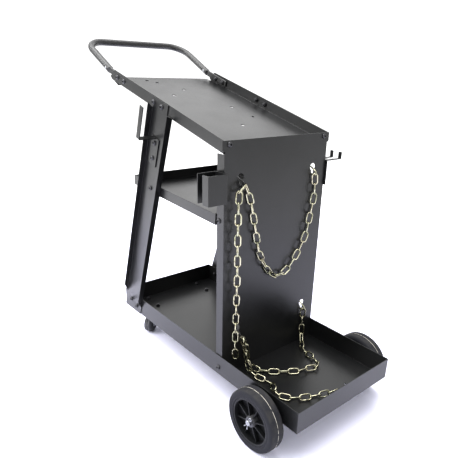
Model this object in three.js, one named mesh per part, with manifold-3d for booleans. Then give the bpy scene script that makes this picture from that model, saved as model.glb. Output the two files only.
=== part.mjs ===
// A welding cart of folded sheet: a bottom tray on two wheels and two casters, a back panel with
// keyholes for two chains, a middle shelf and a sloped top shelf on leaning posts, and a tube handle.
// Millimetres, Z up, handle at -Y, cylinder bay at +Y, right-hand side at +X. Inside this file Y starts
// at the panel's front face and Z at the tray's underside; the last lines set the cart on the floor.
import * as THREE from "three";
import { mergeVertices } from "three/addons/utils/BufferGeometryUtils.js";
import Module from "manifold-3d";

const wasm = await Module();
wasm.setup();

// Sheets and clearances
const SHEET = 1.5;
const STRIP = 2;
const GAP = 0.3;
const RUNNING_GAP = 0.4;
const HOLE_GAP = 0.4;
const PAST = 5;
const OVERLAP = 1;
const MERGE = 1e-4;

// Bottom tray
const TRAY_WIDTH = 290;
const TRAY_FRONT = 234.8;
const TRAY_REAR = -443.7;
const TRAY_WALL = 48.9;
const TRAY_SCREW_Z = 17.6;
const TRAY_HOLE = { x: -51, y: 194.7, radius: 3 };

// Back panel; PANEL_Y is its place in the finished frame
const PANEL_Y = 170.8;
const PANEL_TOP = 513.8;
const PANEL_FLANGE = 22;
const EAR_HEIGHT = 22;
const EAR_REACH = 3;
const EAR_CHAMFER = 4;
const EAR_SCREW = { inset: 14, drop: 7.5 };
const RELIEF_RADIUS = 2;
const KEYHOLE = { spacing: 205, radius: 8, slotWidth: 7, slotDrop: 17 };
// Upper pair down from the panel's top, lower pair up from the tray's underside
const KEYHOLE_DROP = 71.5;
const KEYHOLE_RISE = 107.8;
const HOOK_SCREW = { y: -11, drop: 87.8 };

// Middle shelf
const MIDDLE_SLOPE = 3.04;
const MIDDLE_PAST_POST = 80.4;
const MIDDLE_WALL = 23;
const MIDDLE_EDGE = 368.5;
const MIDDLE_STEP = 2;
const MIDDLE_SCREW_Y = -14.7;

// Top shelf
const TOP_SLOPE = 14.37;
const TOP_LENGTH = 452.5;
const TOP_FLANGE = 24.5;
const TOP_ABOVE_PANEL = 0.2;
// Distances back from the shelf's end and down from the flange's top
const TOP_FLANGE_END = { top: 24.5, tip: 5, tipDrop: 19.5, foot: 15.5 };
const TOP_TAB = 30;
const TOP_LIP = { halfWidth: 139, drop: 17.5 };
const TOP_HOLE_RADIUS = 4.5;
const TOP_HOLES = [
  [59.3, -419.8], [40.1, -405.3], [-4.5, -353.9], [50.3, -313.2], [-57.1, -229.6], [-68.2, -167.1],
  [-2.9, -122.9],
];

// Front posts
const POST_LEAN = 19.7;
const POST_WIDTH = 78;
const POST_FLANGE = 12;
const POST_FOOT_INSET = 39.4;
const POST_FLANGE_START = 35;
const POST_FLANGE_CUT = 28;
const POST_TAB_SHIFT = 19;
const POST_TAB_DROP = 1;
// How far the web's front shoulder reaches up over the shelf's flange, the slit under the tab, and how
// far each flange's top rises to its free edge
const POST_SHOULDER_LAP = 2.5;
const POST_SLIT = 0.3;
const POST_FLANGE_RISE = { rear: 12, front: 5 };
const POST_TOP_SCREWS = [-35.6, -3.2];
const POST_FOOT_SCREWS = [{ t: -12.8, s: 26 }, { t: 17.5, s: 26 }];

// Handle; the bar and the screws are placed from the top shelf's end
const TUBE_DIAMETER = 16;
const HANDLE_BAR = { out: 131.72, up: 67.36 };
const HANDLE_ANGLE = 25.75;
const HANDLE_BEND = 47;
const HANDLE_SCREWS = [39.8, 70.7];
const TONGUE_THICKNESS = 4;
const TONGUE_HEIGHT = 14;
const TONGUE_END = 12;
const CRIMP_LENGTH = 10;
const TUBE_SIDES = 14;
const BEND_STEPS = 8;

// Cable hook, down along the post from the top shelf's flange; torch holder and fork hook, down from the
// panel's top
const HOOK = { t: -7, plateWidth: 30, armT: -10, armWidth: 13, bottom: 134.9, top: 70.4, tip: 0, reach: 43 };
const HOOK_SCREWS = [83, 119.4];
const HOLDER = { bottom: 116, top: 59, front: 10.7, rear: -25, lip: 19, reach: 44 };
const FORK = { bottom: 116, top: 60.3, front: 5, rear: -28, reach: 50, prong: 14, arm: 8.5, root: 18 };

// Rear wheels and axle
const WHEEL_DIAMETER = 135.3;
const TYRE_WIDTH = 35;
const TYRE_THICKNESS = 17.35;
const TYRE_SHOULDER = 6;
const TYRE_OFFSET = 6;
const RIM_THICKNESS = 4;
const RIM_INSET = 1.5;
const HUB_BOSS_RADIUS = 12;
const HUB_BOSS_END = 3;
const HUB_WEB = 4;
const RIB_COUNT = 8;
const RIB_THICKNESS = 2.5;
const RIB_INSET = 6;
const AXLE_Y = 143;
const AXLE_DROP = 11.55;
const AXLE_RADIUS = 6;
const AXLE_END = 5;
const WASHER_THICKNESS = 1.5;
const WASHER_RADIUS = 11;
const BRACKET = { halfLength: 18, below: 11, flange: 26 };
const PIN = { radius: 1.4, up: 9, down: 8, legLength: 11, legAngle: 14, eye: 3.2, tilt: 25, inset: 3 };

// Casters
const CASTER_INSET = { x: 60.5, y: 44.4 };
const CASTER_WHEEL_DIAMETER = 50;
const CASTER_WHEEL_WIDTH = 20;
const CASTER_TRAIL = 20;
const CASTER_REST = 122.5;
const CASTER_PLATE = { halfWidth: 21, halfLength: 36, thickness: 2.5, boltSpacing: 53 };
const RACE = { radius: 18, height: 8 };
const KING_RADIUS = 5;
const KING_HEAD = { radius: 8, height: 3 };
const FORK_SHEET = 2.5;
const FORK_TOP_HALF = 15;
const FORK_EYE = 8;
const CASTER_SIDE_GAP = 1;
const CASTER_CHAMFER = 3;
const CASTER_PIN = { radius: 3, headRadius: 5.5, head: 3 };

// Screws
const SCREW = { radius: 3, headRadius: 5.5, crown: 3.3, head: 3.5, nutRadius: 5.5, nut: 4.5, tail: 2 };
const SCREW_SIDES = 8;
const HOLE_SIDES = 12;
const KEYHOLE_SIDES = 16;

// Chains: tube radius and route points, X, Y, Z in this file's frame
const CHAIN_RADIUS = 6.4;
const CHAIN_SIDES = 8;
const CHAIN_STEPS = 40;
const UPPER_CHAIN = [
  [-102.5, 7, 424], [-107, 7, 398], [-107, 7, 376], [-102, 7, 350], [-97, 7, 326], [-90, 7, 291],
  [-77, 7, 266], [-60, 7, 241], [-36, 7, 217], [-9, 7, 207], [16, 7, 219], [37, 7, 248], [51, 7, 273],
  [58, 7, 298], [65, 7, 329], [71, 7, 353], [77, 7, 379], [85, 7, 405], [94, 8, 422], [107, 11, 429],
  [118, 14, 418], [119, 15, 398], [119, 15, 320], [118, 15, 238], [119, 15, 111], [119, 15, 71],
  [118, 15, 44],
];
const LOWER_CHAIN = [
  [-102.5, 7, 91], [-101.5, 7, 80], [-102, 8, 54], [-99, 12, 28], [-88, 24, 12], [-71, 45, 8.4],
  [-64, 71, 8.4], [-62, 90, 8.4], [-53, 111, 8.4], [-35, 117, 8.4], [-17, 107, 8.4], [5, 102, 8.4],
  [22, 90, 8.4], [40, 77, 8.4], [57, 63, 8.4], [71, 46, 8.4], [77, 27, 8.6], [78, 12, 12],
  [78, 8, 26], [84, 8, 53], [91, 8, 77], [98, 9, 91], [102, 15, 96], [99, 22, 88], [95, 24, 60],
  [92, 27, 26], [92, 38, 10], [91, 60, 8.4], [86, 79, 8.4], [83, 94, 8.4], [86, 109, 8.4],
  [96, 122, 8.4], [97, 142, 8.4], [85, 160, 8.4], [69, 171, 8.4], [51, 181, 8.4], [26, 192, 8.4],
  [6, 198, 8.4], [-13, 201, 8.4],
];

// Sizes that follow from the ones above
const half = TRAY_WIDTH / 2;
const panelHalf = half - SHEET - GAP;
const tongueHalf = panelHalf - SHEET - GAP;
const postInner = half + GAP;
const postOuter = postInner + SHEET;
const behindPanel = -SHEET - GAP;
const wheelRadius = WHEEL_DIAMETER / 2;
const rideHeight = wheelRadius + AXLE_DROP;
const footY = TRAY_REAR + POST_FOOT_INSET;
const topEdge = PANEL_TOP + TOP_ABOVE_PANEL;
const lean = THREE.MathUtils.degToRad(POST_LEAN);
const topSlope = THREE.MathUtils.degToRad(TOP_SLOPE);
const middleSlope = THREE.MathUtils.degToRad(MIDDLE_SLOPE);
const FAR = 2000;

const powderCoat = new THREE.MeshStandardMaterial({ color: 0x2b2c2f, roughness: 0.6, metalness: 0.1 });
const blackScrew = new THREE.MeshStandardMaterial({ color: 0x17181a, roughness: 0.4, metalness: 0.7 });
const zinc = new THREE.MeshStandardMaterial({ color: 0xb9bcc0, roughness: 0.35, metalness: 1 });
const yellowZinc = new THREE.MeshStandardMaterial({ color: 0xb79a4c, roughness: 0.4, metalness: 1 });
const rubber = new THREE.MeshStandardMaterial({ color: 0x343437, roughness: 0.9, metalness: 0 });
const plastic = new THREE.MeshStandardMaterial({ color: 0x111214, roughness: 0.55, metalness: 0 });

// Geometry helpers

// Closed three.js geometry to a solid that faces out.
function toSolid(geometry) {
  const bare = geometry.clone();
  bare.deleteAttribute("normal");
  bare.deleteAttribute("uv");
  const merged = mergeVertices(bare, MERGE);
  const vertProperties = new Float32Array(merged.attributes.position.array);
  const triVerts = new Uint32Array(merged.index.array);
  if (signedVolume(vertProperties, triVerts) < 0) {
    flip(triVerts);
  }
  return new wasm.Manifold(new wasm.Mesh({ numProp: 3, vertProperties, triVerts }));
}

function signedVolume(points, faces) {
  const corner = (i) => new THREE.Vector3().fromArray(points, 3 * faces[i]);
  let sum = 0;
  for (let i = 0; i < faces.length; i += 3) {
    sum += corner(i).dot(corner(i + 1).cross(corner(i + 2)));
  }
  return sum / 6;
}

function flip(faces) {
  for (let i = 0; i < faces.length; i += 3) {
    [faces[i], faces[i + 1]] = [faces[i + 1], faces[i]];
  }
}

function toGeometry(solid) {
  const { vertProperties, triVerts } = solid.getMesh();
  const geometry = new THREE.BufferGeometry();
  geometry.setAttribute("position", new THREE.BufferAttribute(new Float32Array(vertProperties), 3));
  geometry.setIndex(new THREE.BufferAttribute(new Uint32Array(triVerts), 1));
  geometry.computeVertexNormals();
  return geometry;
}

function mirrorX(solid) {
  return toSolid(toGeometry(solid).scale(-1, 1, 1));
}

function block(x0, x1, y0, y1, z0, z1, frame = null) {
  const geometry = new THREE.BoxGeometry(x1 - x0, y1 - y0, z1 - z0);
  geometry.translate((x0 + x1) / 2, (y0 + y1) / 2, (z0 + z1) / 2);
  return toSolid(frame ? geometry.applyMatrix4(frame) : geometry);
}

// A flat outline of [u, v] points, extruded along w in a frame whose first two axes are u and v.
function plate(points, depth, frame) {
  const shape = new THREE.Shape(points.map(([u, v]) => new THREE.Vector2(u, v)));
  const geometry = new THREE.ExtrudeGeometry(shape, { depth, bevelEnabled: false });
  return toSolid(geometry.applyMatrix4(frame));
}

function frameOf(u, v, origin) {
  const w = u.clone().cross(v);
  return new THREE.Matrix4().makeBasis(u, v, w).setPosition(origin);
}

function cylinder(radius, from, to, sides) {
  const axis = to.clone().sub(from);
  const geometry = new THREE.CylinderGeometry(radius, radius, axis.length(), sides);
  const turn = new THREE.Quaternion().setFromUnitVectors(Y_AXIS, axis.normalize());
  geometry.applyQuaternion(turn);
  const middle = from.clone().add(to).multiplyScalar(1 / 2);
  return toSolid(geometry.translate(middle.x, middle.y, middle.z));
}

function lathe(points, sides) {
  return new THREE.LatheGeometry(points.map(([r, h]) => new THREE.Vector2(r, h)), sides);
}

function cut(solid, cutters) {
  return cutters.reduce((rest, cutter) => rest.subtract(cutter), solid);
}

function join(solids) {
  return solids.reduce((whole, piece) => whole.add(piece));
}

const X_AXIS = new THREE.Vector3(1, 0, 0);
const Y_AXIS = new THREE.Vector3(0, 1, 0);
const Z_AXIS = new THREE.Vector3(0, 0, 1);
const vec = (x, y, z) => new THREE.Vector3(x, y, z);

// Screw holes along X through both sides, and the two side frames that the shelves tilt in.
const screwHole = ([y, z]) =>
  cylinder(SCREW.radius + HOLE_GAP, vec(-FAR, y, z), vec(FAR, y, z), SCREW_SIDES);
const tilted = (slope, edge) => new THREE.Matrix4().makeRotationX(-slope).setPosition(0, 0, edge);
const topFrame = tilted(topSlope, topEdge);
const middleFrame = tilted(middleSlope, MIDDLE_EDGE);
const along = (frame, u, v) => vec(0, -u, v).applyMatrix4(frame);
const sideYZ = (point) => [point.y, point.z];

// Post frame: t across the post, s up along it
const acrossPost = vec(0, Math.cos(lean), -Math.sin(lean));
const upPost = vec(0, Math.sin(lean), Math.cos(lean));
const postPoint = (t, s) =>
  vec(0, footY, 0).addScaledVector(acrossPost, t).addScaledVector(upPost, s);
// Distance along the post at which the line at t meets a shelf's line at depth v.
function postMeets(frame, t, v) {
  const normal = Z_AXIS.clone().transformDirection(frame);
  const away = along(frame, 0, v).sub(postPoint(t, 0));
  return away.dot(normal) / upPost.dot(normal);
}
const postMeetsShelf = (t, v) => postMeets(topFrame, t, v);

// Screw places as [y, z]
const flangeMiddle = -TOP_FLANGE / 2;
const fromEnd = (u) => along(topFrame, TOP_LENGTH - u, flangeMiddle);
const handleScrews = HANDLE_SCREWS.map((u) => sideYZ(fromEnd(u)));
const onFlange = (t) => sideYZ(postPoint(t, postMeetsShelf(t, flangeMiddle)));
const postTopScrews = POST_TOP_SCREWS.map(onFlange);
const postFootScrews = POST_FOOT_SCREWS.map(({ t, s }) => sideYZ(postPoint(t, s)));
const wallMiddle = (y) => along(middleFrame, -y / Math.cos(middleSlope), -MIDDLE_WALL / 2);
const postMiddle = postPoint(0, postMeets(middleFrame, 0, -MIDDLE_WALL / 2));
const postMiddleScrew = sideYZ(postMiddle);
const middleLength = MIDDLE_PAST_POST - postMiddle.clone().applyMatrix4(middleFrame.clone().invert()).y;
const flangeMiddleScrew = sideYZ(wallMiddle(MIDDLE_SCREW_Y));
const trayScrew = [-PANEL_FLANGE / 2, TRAY_SCREW_Z];
const hookFrom = postMeetsShelf(HOOK.t, flangeMiddle);
const hookScrews = HOOK_SCREWS.map((drop) => sideYZ(postPoint(HOOK.t, hookFrom - drop)));
const sideHookScrew = [HOOK_SCREW.y, PANEL_TOP - HOOK_SCREW.drop];
const earScrew = { x: half - EAR_SCREW.inset, z: PANEL_TOP - EAR_SCREW.drop };
const earHole = (side) => {
  const x = side * earScrew.x;
  const from = vec(x, -PAST, earScrew.z);
  return cylinder(SCREW.radius + HOLE_GAP, from, vec(x, PAST, earScrew.z), SCREW_SIDES);
};

// Folded sheets

const casterX = half - CASTER_INSET.x;
const casterY = TRAY_REAR + CASTER_INSET.y;
const casterBolts = [CASTER_PLATE.boltSpacing / 2, -CASTER_PLATE.boltSpacing / 2];

function bottomTray() {
  const floor = block(-half, half, TRAY_REAR, TRAY_FRONT, 0, SHEET);
  const side = block(half - SHEET, half, TRAY_REAR, TRAY_FRONT, 0, TRAY_WALL);
  const front = block(-half, half, TRAY_FRONT - SHEET, TRAY_FRONT, 0, TRAY_WALL);
  const rear = block(-half, half, TRAY_REAR, TRAY_REAR + SHEET, 0, TRAY_WALL);
  const boltHoles = [casterX, -casterX].flatMap((side) => casterBolts.map((bolt) => {
    const y = casterY + bolt;
    return cylinder(SCREW.radius + HOLE_GAP, vec(side, y, -PAST), vec(side, y, PAST), SCREW_SIDES);
  }));
  const { x, y, radius } = TRAY_HOLE;
  const smallHole = cylinder(radius, vec(x, y, -PAST), vec(x, y, PAST), SCREW_SIDES);
  const screws = [...postFootScrews, trayScrew].map(screwHole);
  const tray = join([floor, side, mirrorX(side), front, rear]);
  return cut(tray, [...boltHoles, smallHole, ...screws]);
}

function backPanel() {
  const low = SHEET + GAP;
  const earLow = PANEL_TOP - EAR_HEIGHT;
  const earHalf = half + EAR_REACH;
  const right = [
    [panelHalf, low], [panelHalf, earLow], [earHalf, earLow + EAR_CHAMFER], [earHalf, PANEL_TOP],
  ];
  const left = right.map(([x, z]) => [-x, z]).reverse();
  const face = plate([...right, ...left], SHEET, frameOf(X_AXIS, Z_AXIS, vec(0, 0, 0)));
  const underShelf = topEdge - TOP_FLANGE / Math.cos(topSlope) - GAP;
  const flangeTop = Math.min(earLow, underShelf);
  const flange = block(panelHalf - SHEET, panelHalf, -PANEL_FLANGE, -SHEET / 2, low, flangeTop);
  const keyholes = [];
  for (const z of [PANEL_TOP - KEYHOLE_DROP, KEYHOLE_RISE]) {
    for (const x of [-KEYHOLE.spacing / 2, KEYHOLE.spacing / 2]) {
      const slotHalf = KEYHOLE.slotWidth / 2;
      const slotLow = z - KEYHOLE.slotDrop + slotHalf;
      keyholes.push(cylinder(KEYHOLE.radius, vec(x, -PAST, z), vec(x, PAST, z), KEYHOLE_SIDES));
      keyholes.push(block(x - slotHalf, x + slotHalf, -PAST, PAST, slotLow, z));
      keyholes.push(cylinder(slotHalf, vec(x, -PAST, slotLow), vec(x, PAST, slotLow), HOLE_SIDES));
    }
  }
  const relief = (side) => {
    const x = side * panelHalf;
    return cylinder(RELIEF_RADIUS, vec(x, -PAST, earLow), vec(x, PAST, earLow), HOLE_SIDES);
  };
  const screws = [flangeMiddleScrew, trayScrew, sideHookScrew].map(screwHole);
  const panel = join([face, flange, mirrorX(flange)]);
  return cut(panel, [...keyholes, relief(1), relief(-1), earHole(1), earHole(-1), ...screws]);
}

function middleShelf() {
  const wide = -(PANEL_FLANGE + MIDDLE_STEP);
  const end = -middleLength;
  const low = -MIDDLE_WALL;
  const floor = block(-half, half, end, wide, low, low + SHEET, middleFrame);
  const tongue = block(-tongueHalf, tongueHalf, wide - PAST, PAST, low, low + SHEET, middleFrame);
  const wall = block(half - SHEET, half, end, wide, low, 0, middleFrame);
  const tongueWall =
    block(tongueHalf - SHEET, tongueHalf, wide - PAST, PAST, low, 0, middleFrame);
  const endWall = block(-half, half, end, end + SHEET, low, 0, middleFrame);
  const panelSide = block(-FAR, FAR, behindPanel, FAR, -FAR, FAR);
  const screws = [postMiddleScrew, flangeMiddleScrew].map(screwHole);
  const shelf = join([floor, tongue, wall, mirrorX(wall), tongueWall, mirrorX(tongueWall), endWall]);
  return cut(shelf, [panelSide, ...screws]);
}

function topShelf() {
  const low = -TOP_FLANGE;
  const end = -TOP_LENGTH;
  const inner = half - SHEET;
  const flangeEnd = TOP_FLANGE_END;
  const floor = block(-half, half, end + flangeEnd.foot, PAST, low, low + SHEET, topFrame);
  const { halfWidth, drop } = TOP_LIP;
  const apronStart = end + flangeEnd.foot + PAST;
  const apronOutline = [
    [apronStart, low], [apronStart, low + SHEET], [end, low + SHEET], [end, low - drop],
    [end + SHEET, low - drop], [end + SHEET, low],
  ];
  const apronFrame = topFrame.clone().multiply(frameOf(Y_AXIS, Z_AXIS, vec(-halfWidth, 0, 0)));
  const apron = plate(apronOutline, 2 * halfWidth, apronFrame);
  const mitreTop = low - OVERLAP;
  const mitreOutline = [
    [halfWidth + PAST, mitreTop], [halfWidth, mitreTop], [halfWidth - drop, mitreTop - drop],
    [halfWidth + PAST, mitreTop - drop],
  ];
  const mitreFrame = topFrame.clone().multiply(frameOf(X_AXIS, Z_AXIS, vec(0, end + PAST, 0)));
  const mitre = plate(mitreOutline, 2 * PAST, mitreFrame);
  const outline = [
    [PAST, low], [PAST, 0], [end + flangeEnd.top, 0], [end + flangeEnd.tip, -flangeEnd.tipDrop],
    [end + flangeEnd.foot, low],
  ];
  const sideFrame = topFrame.clone().multiply(frameOf(Y_AXIS, Z_AXIS, vec(inner, 0, 0)));
  const flange = plate(outline, SHEET, sideFrame);
  const tab = block(inner - TOP_TAB, inner, behindPanel - SHEET, behindPanel,
    along(topFrame, 0, low).z, PANEL_TOP - SHEET);
  const panelSide = block(-FAR, FAR, behindPanel, FAR, -FAR, FAR);
  const normal = Z_AXIS.clone().transformDirection(topFrame);
  const holes = TOP_HOLES.map(([x, y]) => {
    const u = (low * Math.sin(topSlope) - y) / Math.cos(topSlope);
    const middle = along(topFrame, u, low).setX(x);
    const from = middle.clone().addScaledVector(normal, -PAST);
    const to = middle.clone().addScaledVector(normal, PAST);
    return cylinder(TOP_HOLE_RADIUS, from, to, HOLE_SIDES);
  });
  const screws = [...handleScrews, ...postTopScrews].map(screwHole);
  const shelf = join([floor, apron, flange, mirrorX(flange), tab, mirrorX(tab)]);
  return cut(shelf, [panelSide, mitre, mirrorX(mitre), earHole(1), earHole(-1), ...holes, ...screws]);
}

// The right post; the left one is its mirror image without the cable hook's holes.
function rightPost() {
  const edge = POST_WIDTH / 2;
  const low = -TOP_FLANGE;
  const shelfPoint = (t, v) => postPoint(t, postMeetsShelf(t, v));
  const tabFront = edge - POST_TAB_SHIFT;
  const tabRear = -edge - POST_TAB_SHIFT;
  const tabTop = -POST_TAB_DROP;
  const shoulder = low + POST_SHOULDER_LAP;
  const onFloor = (t) => postPoint(t, t * Math.tan(lean));
  const corners = [
    onFloor(edge), shelfPoint(edge, shoulder), shelfPoint(tabFront, shoulder), shelfPoint(tabFront, tabTop),
    shelfPoint(tabRear, tabTop), shelfPoint(tabRear, low), shelfPoint(-edge, low), onFloor(-edge),
  ];
  const outline = corners.map(sideYZ);
  const web = plate(outline, SHEET, frameOf(Y_AXIS, Z_AXIS, vec(postInner, 0, 0)));
  const foot = block(postInner - PAST, postOuter + PAST, -FAR, FAR, -FAR, 0);
  const rear = block(postInner - PAST, postOuter + PAST, -FAR, TRAY_REAR, -FAR, FAR);
  const flange = (t, v, rise) => {
    const top = Math.min(postMeetsShelf(t, v), postMeetsShelf(t + SHEET, v));
    const free = postOuter + POST_FLANGE;
    const side = [
      [POST_FLANGE_START, postInner], [top, postInner], [top, postOuter], [top + rise, free],
      [POST_FLANGE_START + POST_FLANGE_CUT, free],
    ];
    return plate(side, SHEET, frameOf(upPost, X_AXIS, postPoint(t, 0)));
  };
  const screws = [...postTopScrews, ...postFootScrews, postMiddleScrew].map(screwHole);
  const front = flange(edge - SHEET, shoulder, POST_FLANGE_RISE.front);
  const back = flange(-edge, low - POST_SLIT, POST_FLANGE_RISE.rear);
  return cut(join([cut(web, [foot, rear]), front, back]), screws);
}

// Bent strips

function cableHook() {
  const inner = postOuter + GAP;
  const reach = inner + HOOK.reach;
  const [low, high, tip] = [HOOK.bottom, HOOK.top, HOOK.tip].map((drop) => hookFrom - drop);
  const strip = (outline, t, width) =>
    plate(outline, width, frameOf(X_AXIS, upPost, postPoint(t + width / 2, 0)));
  const back = strip([
    [inner, low], [inner + STRIP, low], [inner + STRIP, high], [inner, high],
  ], HOOK.t, HOOK.plateWidth);
  const arm = strip([
    [inner, high - STRIP], [reach, high - STRIP], [reach, tip], [reach - STRIP, tip],
    [reach - STRIP, high], [inner, high],
  ], HOOK.armT, HOOK.armWidth);
  return cut(back.add(arm), hookScrews.map(screwHole));
}

function torchHolder() {
  const inner = panelHalf + GAP;
  const outer = inner + HOLDER.reach;
  const { bottom, top, front, rear, lip } = HOLDER;
  const low = PANEL_TOP - bottom;
  const high = PANEL_TOP - top;
  const walls = [
    block(inner, inner + STRIP, rear, front, low, high),
    block(inner, outer, front - STRIP, front, low, high),
    block(outer - STRIP, outer, front - lip, front, low, high),
    block(inner, outer, rear, rear + STRIP, low, high),
  ];
  return cut(join(walls), [screwHole(sideHookScrew)]);
}

// On the left flange, so X runs the other way.
function forkHook() {
  const inner = panelHalf + GAP;
  const outer = inner + FORK.reach;
  const { bottom, top, front, rear, prong, arm, root } = FORK;
  const low = PANEL_TOP - bottom;
  const high = PANEL_TOP - top;
  const back = block(-inner - STRIP, -inner, rear, front, low, high);
  const arms = block(-outer, -inner, rear, front, high - STRIP, high);
  const slot = block(-outer - PAST, -inner - root, rear + arm, front - arm, -FAR, FAR);
  const tip = (y) => block(-outer, -outer + STRIP, y, y + arm, high - STRIP, high + prong);
  return cut(join([back, arms, tip(rear), tip(front - arm)]), [slot, screwHole(sideHookScrew)]);
}

// Handle: rings of points along the tube, flattened at both ends to lie inside the top shelf's flanges

function handle() {
  const rise = THREE.MathUtils.degToRad(HANDLE_ANGLE);
  const planeNormal = vec(0, Math.sin(rise), Math.cos(rise));
  const outward = vec(0, -Math.cos(rise), Math.sin(rise));
  const tubeRadius = TUBE_DIAMETER / 2;
  const armX = half - SHEET - GAP - TONGUE_THICKNESS / 2;
  const shelfEnd = fromEnd(0);
  const bar = shelfEnd.clone().add(vec(0, -HANDLE_BAR.out, HANDLE_BAR.up));
  const tongueStart = fromEnd(HANDLE_SCREWS[1] + TONGUE_END);
  const armLength = bar.clone().sub(shelfEnd).dot(outward);
  const onArm = (distance) => bar.clone().addScaledVector(outward, -distance);
  const rings = [];
  const ring = (x, point, tangent, across, high) => {
    rings.push({ centre: point.clone().setX(x), tangent, across, high });
  };
  const slopeDir = vec(0, -Math.cos(topSlope), Math.sin(topSlope));
  const flat = TONGUE_THICKNESS / 2;
  ring(armX, tongueStart, slopeDir, flat, TONGUE_HEIGHT / 2);
  ring(armX, onArm(armLength), outward, flat, TONGUE_HEIGHT / 2);
  ring(armX, onArm(armLength - CRIMP_LENGTH), outward, tubeRadius, tubeRadius);
  for (let i = 0; i <= BEND_STEPS; i += 1) {
    const turn = (i / BEND_STEPS) * (Math.PI / 2);
    const x = armX - HANDLE_BEND * (1 - Math.cos(turn));
    const point = onArm(HANDLE_BEND * (1 - Math.sin(turn)));
    const tangent = outward.clone().multiplyScalar(Math.cos(turn));
    tangent.addScaledVector(X_AXIS, -Math.sin(turn));
    ring(x, point, tangent, tubeRadius, tubeRadius);
  }
  const other = rings.map(({ centre, tangent, across, high }) => ({
    centre: centre.clone().setX(-centre.x),
    tangent: tangent.clone().multiplyScalar(-1).setX(tangent.x),
    across,
    high,
  }));
  const loft = loftRings([...rings, ...other.reverse()], planeNormal, TUBE_SIDES);
  return cut(toSolid(loft), handleScrews.map(screwHole));
}

function loftRings(rings, planeNormal, sides) {
  const points = [];
  for (const { centre, tangent, across, high } of rings) {
    const side = planeNormal.clone().cross(tangent).normalize();
    const up = tangent.clone().cross(side).normalize();
    for (let k = 0; k < sides; k += 1) {
      const angle = (2 * Math.PI * k) / sides;
      points.push(centre.clone()
        .addScaledVector(side, across * Math.cos(angle))
        .addScaledVector(up, high * Math.sin(angle)));
    }
  }
  const faces = [];
  for (let i = 0; i + 1 < rings.length; i += 1) {
    for (let k = 0; k < sides; k += 1) {
      const a = i * sides + k;
      const b = i * sides + ((k + 1) % sides);
      faces.push(a, b, a + sides, b, b + sides, a + sides);
    }
  }
  const last = (rings.length - 1) * sides;
  for (let k = 1; k + 1 < sides; k += 1) {
    faces.push(0, k + 1, k);
    faces.push(last, last + k, last + k + 1);
  }
  const geometry = new THREE.BufferGeometry().setFromPoints(points);
  geometry.setIndex(faces);
  return geometry;
}

// Rear wheels, in a frame at the axle's height whose X runs out from the cart's middle

const tyreInner = half + TYRE_OFFSET;
const tyreOuter = tyreInner + TYRE_WIDTH;
const bossStart = half;
const bossEnd = tyreOuter - HUB_BOSS_END;
const outerWasher = bossEnd + GAP;
const axleHalf = outerWasher + WASHER_THICKNESS + AXLE_END;
const rimRadius = wheelRadius - TYRE_THICKNESS;
const WHEEL_SIDES = 32;
const BORE_SIDES = 12;
const turnToX = new THREE.Matrix4().makeRotationZ(-Math.PI / 2);

function latheX(points, sides) {
  return toSolid(lathe(points, sides).applyMatrix4(turnToX));
}

function ringX(innerRadius, outerRadius, from, to, sides) {
  const section = [
    [innerRadius, from], [outerRadius, from], [outerRadius, to], [innerRadius, to], [innerRadius, from],
  ];
  return latheX(section, sides);
}

function tyre() {
  const bead = rimRadius + GAP;
  const cornerDrop = TYRE_SHOULDER * (1 - Math.SQRT1_2);
  const section = [
    [bead, tyreInner], [wheelRadius - TYRE_SHOULDER, tyreInner],
    [wheelRadius - cornerDrop, tyreInner + cornerDrop], [wheelRadius, tyreInner + TYRE_SHOULDER],
    [wheelRadius, tyreOuter - TYRE_SHOULDER], [wheelRadius - cornerDrop, tyreOuter - cornerDrop],
    [wheelRadius - TYRE_SHOULDER, tyreOuter], [bead, tyreOuter], [bead, tyreInner],
  ];
  return latheX(section, WHEEL_SIDES);
}

function hub() {
  const rimInner = rimRadius - RIM_THICKNESS;
  const bore = AXLE_RADIUS + RUNNING_GAP;
  const webMiddle = (tyreInner + tyreOuter) / 2;
  const rim = ringX(rimInner, rimRadius, tyreInner + RIM_INSET, tyreOuter - RIM_INSET, WHEEL_SIDES);
  const boss = ringX(bore, HUB_BOSS_RADIUS, bossStart, bossEnd, BORE_SIDES);
  const web = ringX(HUB_BOSS_RADIUS - OVERLAP, rimInner + OVERLAP, webMiddle - HUB_WEB / 2,
    webMiddle + HUB_WEB / 2, WHEEL_SIDES);
  const ribs = [];
  for (let i = 0; i < RIB_COUNT; i += 1) {
    const spin = new THREE.Matrix4().makeRotationX((2 * Math.PI * i) / RIB_COUNT);
    ribs.push(block(tyreInner + RIB_INSET, tyreOuter - RIB_INSET, -RIB_THICKNESS / 2, RIB_THICKNESS / 2,
      HUB_BOSS_RADIUS - OVERLAP, rimInner + OVERLAP, spin));
  }
  return join([rim, boss, web, ...ribs]);
}

function washer(from) {
  return ringX(AXLE_RADIUS + GAP, WASHER_RADIUS, from, from + WASHER_THICKNESS, BORE_SIDES);
}

const pinTilt = THREE.MathUtils.degToRad(PIN.tilt);
const pinDown = vec(0, -Math.sin(pinTilt), -Math.cos(pinTilt));
const pinX = axleHalf - PIN.inset;

function axle() {
  const rod = cylinder(AXLE_RADIUS, vec(-axleHalf, 0, 0), vec(axleHalf, 0, 0), BORE_SIDES);
  const crossHole = (x) => {
    const reach = pinDown.clone().multiplyScalar(AXLE_RADIUS + PAST);
    const middle = vec(x, 0, 0);
    const from = middle.clone().sub(reach);
    return cylinder(PIN.radius + GAP, from, middle.clone().add(reach), SCREW_SIDES);
  };
  return cut(rod, [crossHole(pinX), crossHole(-pinX)]);
}

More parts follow.
